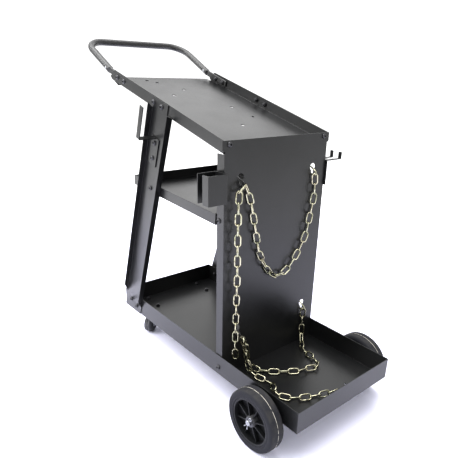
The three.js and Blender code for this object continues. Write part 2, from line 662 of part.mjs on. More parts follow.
function splitPin() {
  const at = (distance) => vec(pinX, 0, 0).addScaledVector(pinDown, distance);
  const shank = cylinder(PIN.radius, at(-PIN.up), at(PIN.down), SCREW_SIDES);
  const eye = new THREE.TorusGeometry(PIN.eye, PIN.radius, SCREW_SIDES, HOLE_SIDES).rotateY(Math.PI / 2);
  const eyeAt = at(-PIN.up - PIN.eye);
  const legs = [-1, 1].map((sign) => {
    const way = pinDown.clone().applyAxisAngle(X_AXIS, sign * THREE.MathUtils.degToRad(PIN.legAngle));
    const start = at(PIN.down - PIN.radius);
    return cylinder(PIN.radius, start, start.clone().addScaledVector(way, PIN.legLength), SCREW_SIDES);
  });
  return join([shank, toSolid(eye.translate(eyeAt.x, eyeAt.y, eyeAt.z)), ...legs]);
}

function axleBracket() {
  const outer = half - GAP;
  const { halfLength, below, flange } = BRACKET;
  const top = AXLE_DROP - GAP;
  const upright = block(outer - STRIP, outer, -halfLength, halfLength, -below, top);
  const foot = block(outer - flange, outer, -halfLength, halfLength, top - STRIP, top);
  const hole = cylinder(AXLE_RADIUS + GAP, vec(-FAR, 0, 0), vec(FAR, 0, 0), BORE_SIDES);
  return cut(upright.add(foot), [hole]);
}

// Casters, in a frame at the swivel axis on the tray's underside; the wheel trails toward -Y

const casterRadius = CASTER_WHEEL_DIAMETER / 2;
const casterAxleZ = casterRadius - rideHeight;
const plateLow = -GAP - CASTER_PLATE.thickness;
const raceLow = plateLow - RACE.height;
const forkTop = raceLow - RUNNING_GAP;
const kingTop = forkTop - FORK_SHEET - RUNNING_GAP;
const legInner = CASTER_WHEEL_WIDTH / 2 + CASTER_SIDE_GAP;
const legOuter = legInner + FORK_SHEET;
const turnToZ = new THREE.Matrix4().makeRotationX(Math.PI / 2);

// The fixed top plate with its race and king pin.
function casterPlate() {
  const { halfWidth, halfLength, thickness } = CASTER_PLATE;
  const top = block(-halfWidth, halfWidth, -halfLength, halfLength, plateLow, plateLow + thickness);
  const kingLow = kingTop - KING_HEAD.height;
  const middle = plateLow + thickness / 2;
  const section = [
    [0, kingLow], [KING_HEAD.radius, kingLow], [KING_HEAD.radius, kingTop], [KING_RADIUS, kingTop],
    [KING_RADIUS, raceLow], [RACE.radius, raceLow], [RACE.radius, middle], [0, middle],
  ];
  const race = toSolid(lathe(section, BORE_SIDES).applyMatrix4(turnToZ));
  const holes = casterBolts.map((y) =>
    cylinder(SCREW.radius + HOLE_GAP, vec(0, y, plateLow - PAST), vec(0, y, PAST), SCREW_SIDES));
  return cut(top.add(race), holes);
}

function casterFork() {
  const topHalf = FORK_TOP_HALF;
  const eye = FORK_EYE;
  const top = block(-legOuter, legOuter, -topHalf, topHalf, forkTop - FORK_SHEET, forkTop);
  const outline = [
    [topHalf, 0], [-topHalf, 0], [-CASTER_TRAIL - eye, casterAxleZ - forkTop + eye],
    [-CASTER_TRAIL - eye, casterAxleZ - forkTop - eye / 2],
    [-CASTER_TRAIL - eye / 2, casterAxleZ - forkTop - eye],
    [-CASTER_TRAIL + eye / 2, casterAxleZ - forkTop - eye],
    [-CASTER_TRAIL + eye, casterAxleZ - forkTop - eye / 2], [topHalf, -2 * FORK_SHEET],
  ];
  const leg = plate(outline, FORK_SHEET, frameOf(Y_AXIS, Z_AXIS, vec(legInner, 0, forkTop)));
  const kingHole = cylinder(KING_RADIUS + RUNNING_GAP, vec(0, 0, forkTop - FORK_SHEET - PAST),
    vec(0, 0, forkTop + PAST), BORE_SIDES);
  const pinHole = cylinder(CASTER_PIN.radius + GAP, vec(-FAR, -CASTER_TRAIL, casterAxleZ),
    vec(FAR, -CASTER_TRAIL, casterAxleZ), BORE_SIDES);
  return cut(join([top, leg, mirrorX(leg)]), [kingHole, pinHole]);
}

function casterPin() {
  const { radius, headRadius, head } = CASTER_PIN;
  const seat = legOuter + GAP;
  const section = [
    [0, -seat - head], [headRadius, -seat - head], [headRadius, -seat], [radius, -seat],
    [radius, seat], [headRadius, seat], [headRadius, seat + head], [0, seat + head],
  ];
  return latheX(section, BORE_SIDES);
}

function casterWheel() {
  const bore = CASTER_PIN.radius + RUNNING_GAP;
  const wide = CASTER_WHEEL_WIDTH / 2;
  const chamfer = CASTER_CHAMFER;
  const section = [
    [bore, -wide], [casterRadius - chamfer, -wide], [casterRadius, -wide + chamfer],
    [casterRadius, wide - chamfer], [casterRadius - chamfer, wide], [bore, wide], [bore, -wide],
  ];
  return latheX(section, WHEEL_SIDES);
}

// A screw and its nut as one solid along +Y, its seat at the origin, gripping what lies below it.
function screw(grip) {
  const { radius, headRadius, crown, head, nutRadius, nut, tail } = SCREW;
  const hold = grip + GAP;
  return lathe([
    [0, -hold - nut - tail], [radius, -hold - nut - tail], [radius, -hold - nut],
    [nutRadius, -hold - nut], [nutRadius, -hold], [radius, -hold], [radius, GAP], [headRadius, GAP],
    [headRadius, GAP + head / 2], [crown, GAP + head], [0, GAP + head],
  ], SCREW_SIDES);
}

// A plain tube along a chain's route.
function chain(route) {
  const path = new THREE.CatmullRomCurve3(route.map(([x, y, z]) => vec(x, y, z)));
  const circle = [];
  for (let k = 0; k < CHAIN_SIDES; k += 1) {
    const angle = (2 * Math.PI * k) / CHAIN_SIDES;
    circle.push(new THREE.Vector2(CHAIN_RADIUS * Math.cos(angle), CHAIN_RADIUS * Math.sin(angle)));
  }
  const options = { steps: CHAIN_STEPS, extrudePath: path, bevelEnabled: false };
  return toSolid(new THREE.ExtrudeGeometry(new THREE.Shape(circle), options));
}

// Assembly

function add(parent, name, solid, finish) {
  const mesh = new THREE.Mesh(toGeometry(solid), finish);
  mesh.name = name;
  parent.add(mesh);
  return mesh;
}

const cart = new THREE.Group();
cart.name = "welding_cart";
const body = new THREE.Group();
body.position.set(0, PANEL_Y, rideHeight);
cart.add(body);

add(body, "bottom_tray", bottomTray(), powderCoat);
add(body, "back_panel", backPanel(), powderCoat);
add(body, "middle_shelf", middleShelf(), powderCoat);
add(body, "top_shelf", topShelf(), powderCoat);
const post = rightPost();
add(body, "right_post", cut(post, hookScrews.map(screwHole)), powderCoat);
add(body, "left_post", mirrorX(post), powderCoat);
add(body, "handle", handle(), powderCoat);
add(body, "cable_hook", cableHook(), powderCoat);
add(body, "torch_holder", torchHolder(), powderCoat);
add(body, "fork_hook", forkHook(), powderCoat);
add(body, "upper_chain", chain(UPPER_CHAIN), yellowZinc);
add(body, "lower_chain", chain(LOWER_CHAIN), yellowZinc);

const axleLine = new THREE.Group();
axleLine.position.set(0, AXLE_Y, -AXLE_DROP);
body.add(axleLine);
add(axleLine, "axle", axle(), zinc);
for (const [name, place] of [["right", (solid) => solid], ["left", mirrorX]]) {
  add(axleLine, `${name}_axle_bracket`, place(axleBracket()), powderCoat);
  add(axleLine, `${name}_tyre`, place(tyre()), rubber);
  add(axleLine, `${name}_hub`, place(hub()), plastic);
  add(axleLine, `${name}_outer_washer`, place(washer(outerWasher)), zinc);
  add(axleLine, `${name}_split_pin`, place(splitPin()), zinc);
}

for (const [name, side] of [["right", 1], ["left", -1]]) {
  const caster = new THREE.Group();
  caster.position.set(side * casterX, casterY, 0);
  body.add(caster);
  add(caster, `${name}_caster_plate`, casterPlate(), zinc);
  casterBolts.forEach((y, i) => {
    const bolt = add(caster, `${name}_caster_screw_${i + 1}`, toSolid(screw(SHEET - plateLow)), blackScrew);
    bolt.position.set(0, y, plateLow);
    bolt.quaternion.setFromUnitVectors(Y_AXIS, vec(0, 0, -1));
  });
  const swivel = new THREE.Group();
  swivel.rotation.z = THREE.MathUtils.degToRad(CASTER_REST);
  caster.add(swivel);
  add(swivel, `${name}_caster_fork`, casterFork(), zinc);
  const pin = add(swivel, `${name}_caster_pin`, casterPin(), zinc);
  pin.position.set(0, -CASTER_TRAIL, casterAxleZ);
  const wheel = add(swivel, `${name}_caster_wheel`, casterWheel(), rubber);
  wheel.position.set(0, -CASTER_TRAIL, casterAxleZ);
}

// Screws: name, the sides that have one, places, the head's seat and the far face that the nut bears on
const inside = half - SHEET;
const screwSets = [
  ["handle_screw", [1, -1], handleScrews, half, panelHalf - TONGUE_THICKNESS],
  ["post_top_screw", [1, -1], postTopScrews, postOuter, inside],
  ["post_foot_screw", [1, -1], postFootScrews, postOuter, inside],
  ["post_middle_screw", [1, -1], [postMiddleScrew], postOuter, inside],
  ["middle_shelf_screw", [1, -1], [flangeMiddleScrew], panelHalf, tongueHalf - SHEET],
  ["tray_screw", [1, -1], [trayScrew], half, panelHalf - SHEET],
  ["cable_hook_screw", [1], hookScrews, postOuter + GAP + STRIP, postInner],
  ["torch_holder_screw", [1], [sideHookScrew], panelHalf + GAP + STRIP, panelHalf - SHEET],
  ["fork_hook_screw", [-1], [sideHookScrew], panelHalf + GAP + STRIP, panelHalf - SHEET],
];
for (const [name, sides, places, seat, far] of screwSets) {
  for (const side of sides) {
    places.forEach(([y, z], i) => {
      const label = `${side > 0 ? "right" : "left"}_${name}${places.length > 1 ? `_${i + 1}` : ""}`;
      const mesh = add(body, label, toSolid(screw(seat - far)), blackScrew);
      mesh.position.set(side * seat, y, z);
      mesh.quaternion.setFromUnitVectors(Y_AXIS, vec(side, 0, 0));
    });
  }
}
for (const [name, side] of [["right", 1], ["left", -1]]) {
  const mesh = add(body, `${name}_ear_screw`, toSolid(screw(SHEET * 2 + GAP)), blackScrew);
  mesh.position.set(side * earScrew.x, 0, earScrew.z);
}

export default cart;
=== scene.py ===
# %% [markdown]
# # A welding cart, given its real surfaces
# The CAD pack holds every solid of the cart in metres: Z is up, the handle is at -Y and the bay
# for the gas cylinder at +Y. This lesson loads that frame, looks at it from the photograph's
# viewpoint, and then gives each piece the shape and finish that its maker gave it.

# %% Load the frame
import math

import bmesh
import bpy
import numpy as np
from mathutils import Matrix, Vector
from mathutils.geometry import delaunay_2d_cdt


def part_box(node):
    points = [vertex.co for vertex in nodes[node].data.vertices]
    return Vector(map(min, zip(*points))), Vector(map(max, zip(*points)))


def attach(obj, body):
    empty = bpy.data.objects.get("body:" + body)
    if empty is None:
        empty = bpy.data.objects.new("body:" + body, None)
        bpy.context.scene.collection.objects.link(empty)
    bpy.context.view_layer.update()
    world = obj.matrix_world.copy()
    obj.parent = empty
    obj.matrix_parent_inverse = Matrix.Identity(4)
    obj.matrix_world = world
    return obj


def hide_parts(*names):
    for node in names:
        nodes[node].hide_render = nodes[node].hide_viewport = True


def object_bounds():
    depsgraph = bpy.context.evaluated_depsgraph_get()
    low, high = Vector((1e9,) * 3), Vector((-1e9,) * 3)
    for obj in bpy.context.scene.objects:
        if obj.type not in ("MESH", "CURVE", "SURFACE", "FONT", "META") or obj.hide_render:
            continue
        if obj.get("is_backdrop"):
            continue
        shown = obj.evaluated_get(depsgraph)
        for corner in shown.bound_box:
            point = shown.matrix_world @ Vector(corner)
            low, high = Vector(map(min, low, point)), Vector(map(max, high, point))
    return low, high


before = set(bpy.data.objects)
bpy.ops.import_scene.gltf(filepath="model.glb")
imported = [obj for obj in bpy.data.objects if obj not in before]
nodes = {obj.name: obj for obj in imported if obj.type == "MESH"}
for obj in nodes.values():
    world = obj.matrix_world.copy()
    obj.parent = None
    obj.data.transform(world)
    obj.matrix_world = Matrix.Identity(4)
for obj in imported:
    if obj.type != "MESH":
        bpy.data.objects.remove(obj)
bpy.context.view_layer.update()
scene = bpy.context.scene
MM = 0.001

# %% [markdown]
# ## Camera
# A camera can be turned by Euler angles or placed by a matrix. Fitting the cart's corners to the
# picture gave a stand, an azimuth, an elevation and a roll, and a product of four matrices takes
# them as they are: read from the right, the camera is rolled, tipped up, turned and carried to
# its stand. The optical centre isn't in the middle of the picture, so a small shift moves it.

# %% Camera
PICTURE = 458
SENSOR = 36.0
FOCAL_PIXELS = 473.72
OPTICAL_CENTRE = (257.49, 265.49)
STAND = Vector((0.6866, 0.8666, 0.7208))
AZIMUTH, ELEVATION, ROLL = 137.51, 22.83, 2.44
azimuth, elevation, roll = (math.radians(degrees) for degrees in (AZIMUTH, ELEVATION, ROLL))

camera = bpy.data.objects.new("camera", bpy.data.cameras.new("camera"))
camera.matrix_world = (
    Matrix.Translation(STAND)
    @ Matrix.Rotation(azimuth, 4, "Z")
    @ Matrix.Rotation(math.pi / 2 - elevation, 4, "X")
    @ Matrix.Rotation(roll, 4, "Z")
)
camera.data.sensor_width = SENSOR
camera.data.lens = FOCAL_PIXELS / PICTURE * SENSOR
camera.data.shift_x = 0.5 - OPTICAL_CENTRE[0] / PICTURE
camera.data.shift_y = OPTICAL_CENTRE[1] / PICTURE - 0.5
scene.collection.objects.link(camera)
scene.camera = camera
print("lens", round(camera.data.lens, 2), "mm")

# %% [markdown]
# ## Skins over rings
# Wire, tube, tyres and turned parts are all a section carried along a line. Curves with a bevel
# could do that, but rings of points that are joined one to the next give full control of each
# section, so one loft serves a chain link, a tyre and a screw. A shell is a list of points and a
# list of faces, and a piece is one mesh of one or more shells.

# %% Lofts and pieces
SMOOTH_BELOW = math.radians(38)


def loft(rings, closed=False):
    """Points and faces of a skin over rings of equal count; open ends are capped."""
    count = len(rings[0])
    points = [tuple(p) for ring in rings for p in ring]
    faces = []
    for i in range(len(rings) if closed else len(rings) - 1):
        here, there = i * count, (i + 1) % len(rings) * count
        for k in range(count):
            m = (k + 1) % count
            faces.append((here + k, here + m, there + m, there + k))
    if not closed:
        last = (len(rings) - 1) * count
        faces.append(tuple(range(count))[::-1])
        faces.append(tuple(range(last, last + count)))
    return points, faces


def circle(count):
    angles = np.arange(count) * 2 * math.pi / count
    return np.cos(angles), np.sin(angles)


def turned(profile, sides, closed=False):
    """A profile of (radius, place along X) in millimetres, turned about X."""
    c, s = circle(sides)
    rings = [
        np.stack([np.full(sides, x), radius * c, radius * s], axis=1) * MM
        for radius, x in profile
    ]
    return loft(rings, closed)


def moved(shell, matrix):
    points, faces = shell
    return [tuple(matrix @ Vector(p)) for p in points], faces


def make_piece(name, shells, finish, body="cart", stands_for=(), place=None):
    """One mesh piece from shells, riding on a body and standing for CAD nodes."""
    points, faces = [], []
    for some, skin in shells:
        start = len(points)
        points += some
        faces += [tuple(start + i for i in face) for face in skin]
    mesh = bpy.data.meshes.new(name)
    mesh.from_pydata(points, [], faces)
    work = bmesh.new()
    work.from_mesh(mesh)
    bmesh.ops.recalc_face_normals(work, faces=work.faces[:])
    work.to_mesh(mesh)
    work.free()
    return show(name, mesh, finish, body, stands_for, place)


def show(name, mesh, finish, body, stands_for, place=None):
    mesh.polygons.foreach_set("use_smooth", [True] * len(mesh.polygons))
    mesh.set_sharp_from_angle(angle=SMOOTH_BELOW)
    mesh.materials.append(finish)
    made = bpy.data.objects.new(name, mesh)
    if place is not None:
        made.matrix_world = place
    scene.collection.objects.link(made)
    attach(made, body)
    if stands_for:
        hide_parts(*stands_for)
    return made


def tell(piece):
    print(piece.name, len(piece.data.polygons), "faces")


print("a ring of 8 has", len(circle(8)[0]), "points")

# %% [markdown]
# ## Shader sums
# A finish is a small sum: noise times a strength, one mask times another. Written as nodes and
# links that sum is long, so one class wraps an output socket and turns Python's operators into
# Math nodes. Its `node` method makes every other kind of node.

# %% A socket that can be added and multiplied
class Field:
    """An output socket of a material, for use in sums."""

    def __init__(self, tree, socket=None):
        self.tree = tree
        self.socket = socket

    def node(self, kind, settings=None, inputs=None, out=0):
        made = self.tree.nodes.new(kind)
        for name, value in (settings or {}).items():
            setattr(made, name, value)
        for name, value in (inputs or {}).items():
            if isinstance(value, Field):
                self.tree.links.new(value.socket, made.inputs[name])
            else:
                made.inputs[name].default_value = value
        return Field(self.tree, made.outputs[out])

    def math(self, operation, a, b=0.0):
        return self.node("ShaderNodeMath", {"operation": operation}, {0: a, 1: b})

    def __add__(self, other):
        return self.math("ADD", self, other)

    def __radd__(self, other):
        return self.math("ADD", other, self)

    def __sub__(self, other):
        return self.math("SUBTRACT", self, other)

    def __rsub__(self, other):
        return self.math("SUBTRACT", other, self)

    def __mul__(self, other):
        return self.math("MULTIPLY", self, other)

    def __rmul__(self, other):
        return self.math("MULTIPLY", other, self)

    def __pow__(self, other):
        return self.math("POWER", self, other)

    def __abs__(self):
        return self.math("ABSOLUTE", self)


print("reflected sums:", [name for name in vars(Field) if name.startswith("__r")])

# %% [markdown]
# ## What every finish shares
# Each material here is one Principled shader. Patterns are placed by Object coordinates, which
# are metres on every piece, so a grain of one millimetre is the same on a tray and on a screw.
# Fine relief goes through one Bump node.

# %% Helpers for finishes
def new_finish(name):
    made = bpy.data.materials.new(name)
    made.use_nodes = True
    made.node_tree.nodes.clear()
    return made, Field(made.node_tree)


def noise(start, scale, detail=3.0, rough=0.55):
    """Noise with that many features to the metre."""
    where = start.node("ShaderNodeTexCoord", out="Object")
    inputs = {"Vector": where, "Scale": scale, "Detail": detail, "Roughness": rough}
    return start.node("ShaderNodeTexNoise", None, inputs)


def between(value, low, high):
    """0 below low, 1 above high."""
    inputs = {"Value": value, "From Min": low, "From Max": high}
    return value.node("ShaderNodeMapRange", {"interpolation_type": "SMOOTHSTEP"}, inputs)


# A Mix node has sockets for numbers, vectors and colours; these are its colour ones.
MIX_FACTOR, MIX_LOW, MIX_HIGH, MIX_RESULT = 0, 6, 7, 2


def tint(factor, low, high):
    """A colour between two colours or colour fields."""
    ends = [c if isinstance(c, Field) else (*c, 1.0) for c in (low, high)]
    inputs = {MIX_FACTOR: factor, MIX_LOW: ends[0], MIX_HIGH: ends[1]}
    return factor.node("ShaderNodeMix", {"data_type": "RGBA"}, inputs, out=MIX_RESULT)


def ramp(factor, stops):
    """A colour from stops, each a place and a colour, first to last."""
    made = factor.node("ShaderNodeValToRGB", None, {"Fac": factor})
    elements = made.socket.node.color_ramp.elements
    while len(elements) < len(stops):
        elements.new(1.0)
    for element, (place, colour) in zip(elements, stops):
        element.position = place
        element.color = (*colour, 1.0)
    return made


def bumped(height, distance, strength):
    inputs = {"Height": height, "Distance": distance, "Strength": strength}
    return height.node("ShaderNodeBump", None, inputs)


def close_finish(start, **sockets):
    """Ends a finish in its Principled shader; sockets are named with _ for spaces."""
    inputs = {name.replace("_", " "): value for name, value in sockets.items()}
    shader = start.node("ShaderNodeBsdfPrincipled", None, inputs, out="BSDF")
    end = start.tree.nodes.new("ShaderNodeOutputMaterial")
    start.tree.links.new(shader.socket, end.inputs["Surface"])


print("helpers:", [f.__name__ for f in (new_finish, noise, between, tint, ramp, bumped)])

# %% [markdown]
# ## Black powder coat
# Powder is sprayed dry and baked, so it flows into a fine pebbled skin: no brush marks, a faint
# orange peel and a satin shine. The colour stays close to black and what the eye sees is mostly
# the studio reflected in it, so the work is in the roughness. Two scales of noise make the skin,
# and a slow one stands for handling. The handle gets a paler, duller copy of the coat than the
# sheets: its paler colour is painted light, standing for the brighter look of the lit tube, so
# one function makes both finishes.

# %% Powder coat
PEBBLES, ORANGE_PEEL, HAND_MARKS = 1500.0, 260.0, 7.0
SKIN_DEPTH, SKIN_STRENGTH = 0.2 * MM, 0.22


def coat(name, fresh, handled, rough):
    """A powder coat between two near blacks; rough is its roughness where it is fresh."""
    made, start = new_finish(name)
    pebble = noise(start, PEBBLES, 2.0)
    peel = noise(start, ORANGE_PEEL, 2.0)
    handling = between(noise(start, HAND_MARKS, 5.0, 0.62), 0.38, 0.72)
    close_finish(
        start,
        Base_Color=tint(handling, fresh, handled),
        Roughness=rough + 0.06 * handling + 0.05 * peel,
        IOR=1.52,
        Normal=bumped(pebble * 0.6 + peel * 0.4, SKIN_DEPTH, SKIN_STRENGTH),
    )
    return made


powder_coat = coat("black_powder_coat", (0.006, 0.0063, 0.0066), (0.0095, 0.0098, 0.0102), 0.28)
# painted light: the handle's copy of the coat is painted paler than the sheets' to stand for the
# light on the tube
handle_coat_painted_light = coat("handle_powder_coat_painted_light", (0.02, 0.02, 0.0205), (0.03, 0.03, 0.0305), 0.34)
for made in (powder_coat, handle_coat_painted_light):
    print(made.name, "has", len(made.node_tree.nodes), "nodes")

# %% [markdown]
# ## Screws, zinc and the chain's yellow plating
# Black oxide is a thin conversion of the steel, so the screws still shine like metal. Bright
# zinc is pale and slightly blue, and on the washers it has gone dull. The chain's yellow
# passivate is a clear film over zinc that shifts from straw to olive and rose over a few
# centimetres; a slow noise through a ramp of three tints gives that drift, and a coat layer the
# white glint of the film.

# %% Metals
black_oxide, start = new_finish("black_oxide")
patch = noise(start, 420.0)
close_finish(
    start,
    Base_Color=tint(patch, (0.04, 0.04, 0.043), (0.085, 0.085, 0.09)),
    Metallic=0.75,
    Roughness=0.3 + 0.18 * patch,
    Normal=bumped(noise(start, 2600.0, 2.0), 0.0001, 0.3),
)

bright_zinc, start = new_finish("bright_zinc")
spangle = noise(start, 300.0, 4.0)
dull = between(noise(start, 60.0, 4.0), 0.4, 0.7)
close_finish(
    start,
    Base_Color=tint(dull, (0.43, 0.44, 0.46), (0.27, 0.275, 0.29)),
    Metallic=1.0,
    Roughness=0.26 + 0.16 * dull + 0.06 * spangle,
    Normal=bumped(spangle, 0.0001, 0.2),
)

dull_zinc, start = new_finish("dull_zinc")
stain = noise(start, 240.0, 4.0)
close_finish(
    start,
    Base_Color=tint(stain, (0.07, 0.071, 0.075), (0.14, 0.142, 0.15)),
    Metallic=1.0,
    Roughness=0.4 + 0.2 * stain,
    Normal=bumped(stain, 0.0001, 0.2),
)

yellow_zinc, start = new_finish("yellow_zinc")
drift = noise(start, 38.0)
grime = between(noise(start, 210.0, 4.0), 0.52, 0.8)
STRAW, OLIVE, ROSE = (0.44, 0.425, 0.31), (0.28, 0.285, 0.205), (0.4, 0.37, 0.28)
GRIME = (0.3, 0.25, 0.13)
film = ramp(drift, [(0.36, OLIVE), (0.5, STRAW), (0.66, ROSE)])
close_finish(
    start,
    Base_Color=tint(grime, film, GRIME),
    Metallic=1.0,
    Roughness=0.16 + 0.2 * grime,
    Coat_Weight=0.5,
    Coat_Roughness=0.12,
    Normal=bumped(noise(start, 900.0, 2.0), 0.00012, 0.25),
)
print([m.name for m in (black_oxide, bright_zinc, dull_zinc, yellow_zinc)])

# %% [markdown]
# ## Chains
# Two lengths of yellow-plated link chain hold a gas cylinder to the panel. A tube with a bump
# pattern would only look like chain from far off, so each link is made: round wire bent to an
# oval and welded on one side. The links hang from hinge points one pitch apart along the route.
# Chain that lies against a sheet settles with its links leaning to the left and right of it in
# turn, so every link is turned a quarter from the last, half a right angle off the sheet.

# %% Chain routes
UPPER_ROUTE = [
    (-102.5, 177.8, 503.2), (-107, 177.8, 477.2), (-107, 177.8, 455.2), (-102, 177.8, 429.2),
    (-97, 177.8, 405.2), (-90, 177.8, 370.2), (-77, 177.8, 345.2), (-60, 177.8, 320.2),
    (-36, 177.8, 296.2), (-9, 177.8, 286.2), (16, 177.8, 298.2), (37, 177.8, 327.2),
    (51, 177.8, 352.2), (58, 177.8, 377.2), (65, 177.8, 408.2), (71, 177.8, 432.2),
    (77, 177.8, 458.2), (85, 177.8, 484.2), (94, 178.8, 501.2), (107, 181.8, 508.2),
    (118, 184.8, 497.2), (119, 185.8, 477.2), (119, 185.8, 399.2), (118, 185.8, 317.2),
    (119, 185.8, 190.2), (119, 185.8, 150.2), (118, 185.8, 123.2),
]
LOWER_ROUTE = [
    (-102.5, 177.8, 170.2), (-101.5, 177.8, 159.2), (-102, 178.8, 133.2), (-99, 182.8, 107.2),
    (-88, 194.8, 91.2), (-71, 215.8, 87.6), (-64, 241.8, 87.6), (-62, 260.8, 87.6),
    (-53, 281.8, 87.6), (-35, 287.8, 87.6), (-17, 277.8, 87.6), (5, 272.8, 87.6),
    (22, 260.8, 87.6), (40, 247.8, 87.6), (57, 233.8, 87.6), (71, 216.8, 87.6), (77, 197.8, 87.8),
    (78, 182.8, 91.2), (78, 178.8, 105.2), (84, 178.8, 132.2), (91, 178.8, 156.2),
    (98, 179.8, 170.2), (102, 185.8, 175.2), (99, 192.8, 167.2), (95, 194.8, 139.2),
    (92, 197.8, 105.2), (92, 208.8, 89.2), (91, 230.8, 87.6), (86, 249.8, 87.6), (83, 264.8, 87.6),
    (86, 279.8, 87.6), (96, 292.8, 87.6), (97, 312.8, 87.6), (85, 330.8, 87.6), (69, 341.8, 87.6),
    (51, 351.8, 87.6), (26, 362.8, 87.6), (6, 368.8, 87.6), (-13, 371.8, 87.6),
]
PITCH, WIRE, LINK_WIDTH = 0.022, 0.0034, 0.015
SPAN_STEPS = 32


def smooth_line(route):
    """Closely spaced points of the smooth line that passes through a route's points."""
    p = np.array(route) * MM
    p = np.vstack([2 * p[0] - p[1], p, 2 * p[-1] - p[-2]])
    line = []
    for four in zip(p, p[1:], p[2:], p[3:]):
        t = np.cumsum([0.0] + [math.sqrt(np.linalg.norm(n - m)) for m, n in zip(four, four[1:])])
        at = np.linspace(t[1], t[2], SPAN_STEPS, endpoint=False)[:, None]
        mix = lambda a, b, i, j: ((t[j] - at) * a + (at - t[i]) * b) / (t[j] - t[i])
        first = [mix(four[i], four[i + 1], i, i + 1) for i in range(3)]
        second = [mix(first[i], first[i + 1], i, i + 2) for i in range(2)]
        line.append(mix(second[0], second[1], 1, 2))
    return np.vstack(line + [p[-2:-1]])


def hinges(route, held):
    """Hinge points about one pitch apart, with a hinge at each held point along the route."""
    line = smooth_line(route)
    held = np.vstack([np.array(held) * MM, line[-1:]])
    marks = [int(np.argmin(np.linalg.norm(line - point, axis=1))) for point in held]
    found = []
    for i in range(len(held) - 1):
        stretch = line[marks[i]:marks[i + 1] + 1].copy()
        stretch[0], stretch[-1] = held[i], held[i + 1]
        run = np.cumsum([0.0, *np.linalg.norm(np.diff(stretch, axis=0), axis=1)])
        links = max(1, round(run[-1] / PITCH))
        at = np.linspace(0, run[-1], links + 1)[:-1]
        found += [[np.interp(s, run, stretch[:, k]) for k in range(3)] for s in at]
    return [Vector(h) for h in found] + [Vector(line[-1])]


UPPER_HELD = [(-102.5, 179.2, 506.2), (97.5, 180, 507), (116.5, 184.5, 496.2)]
LOWER_HELD = [(-102.5, 179.2, 171.7), (95.5, 179.5, 165), (104, 197, 170.2)]
chain_hinges = {
    "upper_chain": hinges(UPPER_ROUTE, UPPER_HELD),
    "lower_chain": hinges(LOWER_ROUTE, LOWER_HELD),
}
print([len(points) - 1 for points in chain_hinges.values()], "links")

# %% Chain links
WIRE_SIDES = 10
BOW_STEPS = 7
WELD_REACH, WELD_SWELL = 0.1, 1.16
LEAN = math.radians(45)
FLOOR_TOP, CLEAR_OF_FLOOR = 0.095, 0.125


def link(a, b, width_way):
    """The shell of one link between hinge points a and b; width_way points across its oval."""
    along = (b - a).normalized()
    side = (width_way - along * width_way.dot(along)).normalized()
    through = along.cross(side)
    bow = (LINK_WIDTH - WIRE) / 2
    straight = (PITCH + WIRE) / 2 - bow
    stations = []
    for end in (1, -1):
        for i in range(BOW_STEPS + 1):
            angle = math.pi * (i / BOW_STEPS - 0.5) + (0 if end > 0 else math.pi)
            stations.append((end * straight, angle, 1.0))
        if end > 0:
            for share, swell in ((WELD_REACH, 1.0), (0.0, WELD_SWELL), (-WELD_REACH, 1.0)):
                stations.append((share * straight, math.pi / 2, swell))
    c, s = circle(WIRE_SIDES)
    rings = []
    for centre, angle, swell in stations:
        radial = along * math.cos(angle) + side * math.sin(angle)
        middle = (a + b) / 2 + along * centre + radial * bow
        r = WIRE / 2 * swell
        rings.append([middle + radial * (r * x) + through * (r * y) for x, y in zip(c, s)])
    return loft(rings, closed=True)


def chain_links(points):
    shells = []
    for i, (a, b) in enumerate(zip(points, points[1:])):
        along = (b - a).normalized()
        off_floor = (a.z + b.z) / 2 - FLOOR_TOP
        share = min(1.0, max(0.0, off_floor / (CLEAR_OF_FLOOR - FLOOR_TOP)))
        off_sheet = Vector((0, share, 1 - share))
        beside = along.cross(off_sheet).normalized()
        off_sheet = beside.cross(along)
        lean = LEAN if i % 2 else -LEAN
        shells.append(link(a, b, off_sheet * math.sin(lean) + beside * math.cos(lean)))
    return shells


chains = {}
for name, points in chain_hinges.items():
    chains[name] = make_piece(
        f"{name}_links", chain_links(points), yellow_zinc, stands_for=[name]
    )
    tell(chains[name])

# %% [markdown]
# At each keyhole one more link passes edge-on through the slot, with its lower wire on the
# slot's bottom, and carries the chain in front of the panel. The chain was unhooked and hung up
# on the right, where these links are coated black; on the left they belong to the chain and are
# plated like it.

# %% Links in the keyholes
KEYHOLE_X, KEYHOLE_Z = 0.1025, (0.5121, 0.1776)
PANEL_MIDDLE = 0.17005
HOOK_TILT = math.radians(28)
reach = Vector((0, math.cos(HOOK_TILT), -math.sin(HOOK_TILT))) * (PITCH / 2)
for side, x, finish, slot in (
    ("right", KEYHOLE_X, powder_coat, "powder_coat"), ("left", -KEYHOLE_X, yellow_zinc, "chain")
):
    middles = [Vector((x, PANEL_MIDDLE, z)) for z in KEYHOLE_Z]
    shells = [link(m - reach, m + reach, Vector((0, 0, 1))) for m in middles]
    tell(make_piece(f"{side}_keyhole_links", shells, finish))

for name, points in chain_hinges.items():
    length = sum((b - a).length for a, b in zip(points, points[1:]))
    print(name, "is", round(length, 3), "m long")

# %% [markdown]
# ## Folded sheet
# The tray, panel, shelves and posts are cut flat and folded on a press brake, so a fold is never
# a sharp line: its outside has a radius of the sheet plus a little, its inside a small one, and
# a cut edge only has its burr taken off under the paint. A Bevel modifier trips over the many
# holes in these flats, so the flats of a CAD solid are found first. Each flat's border is drawn
# in by the radius of the edge it meets there, and a round strip closes each gap.

# %% Flats of a solid
FOLD_OUTSIDE = 2.8 * MM
FOLD_INSIDE = 0.7 * MM
CUT_EDGE = 0.28 * MM
WELD_DISTANCE = 0.01 * MM
FLAT_WITHIN = math.radians(0.6)
CORNER_ABOVE = math.radians(35)
SHARE_OF_SIDE = 0.42
CUT_FACE = 1.25  # a flat up to this many sheets wide is a cut edge, not a fold's side


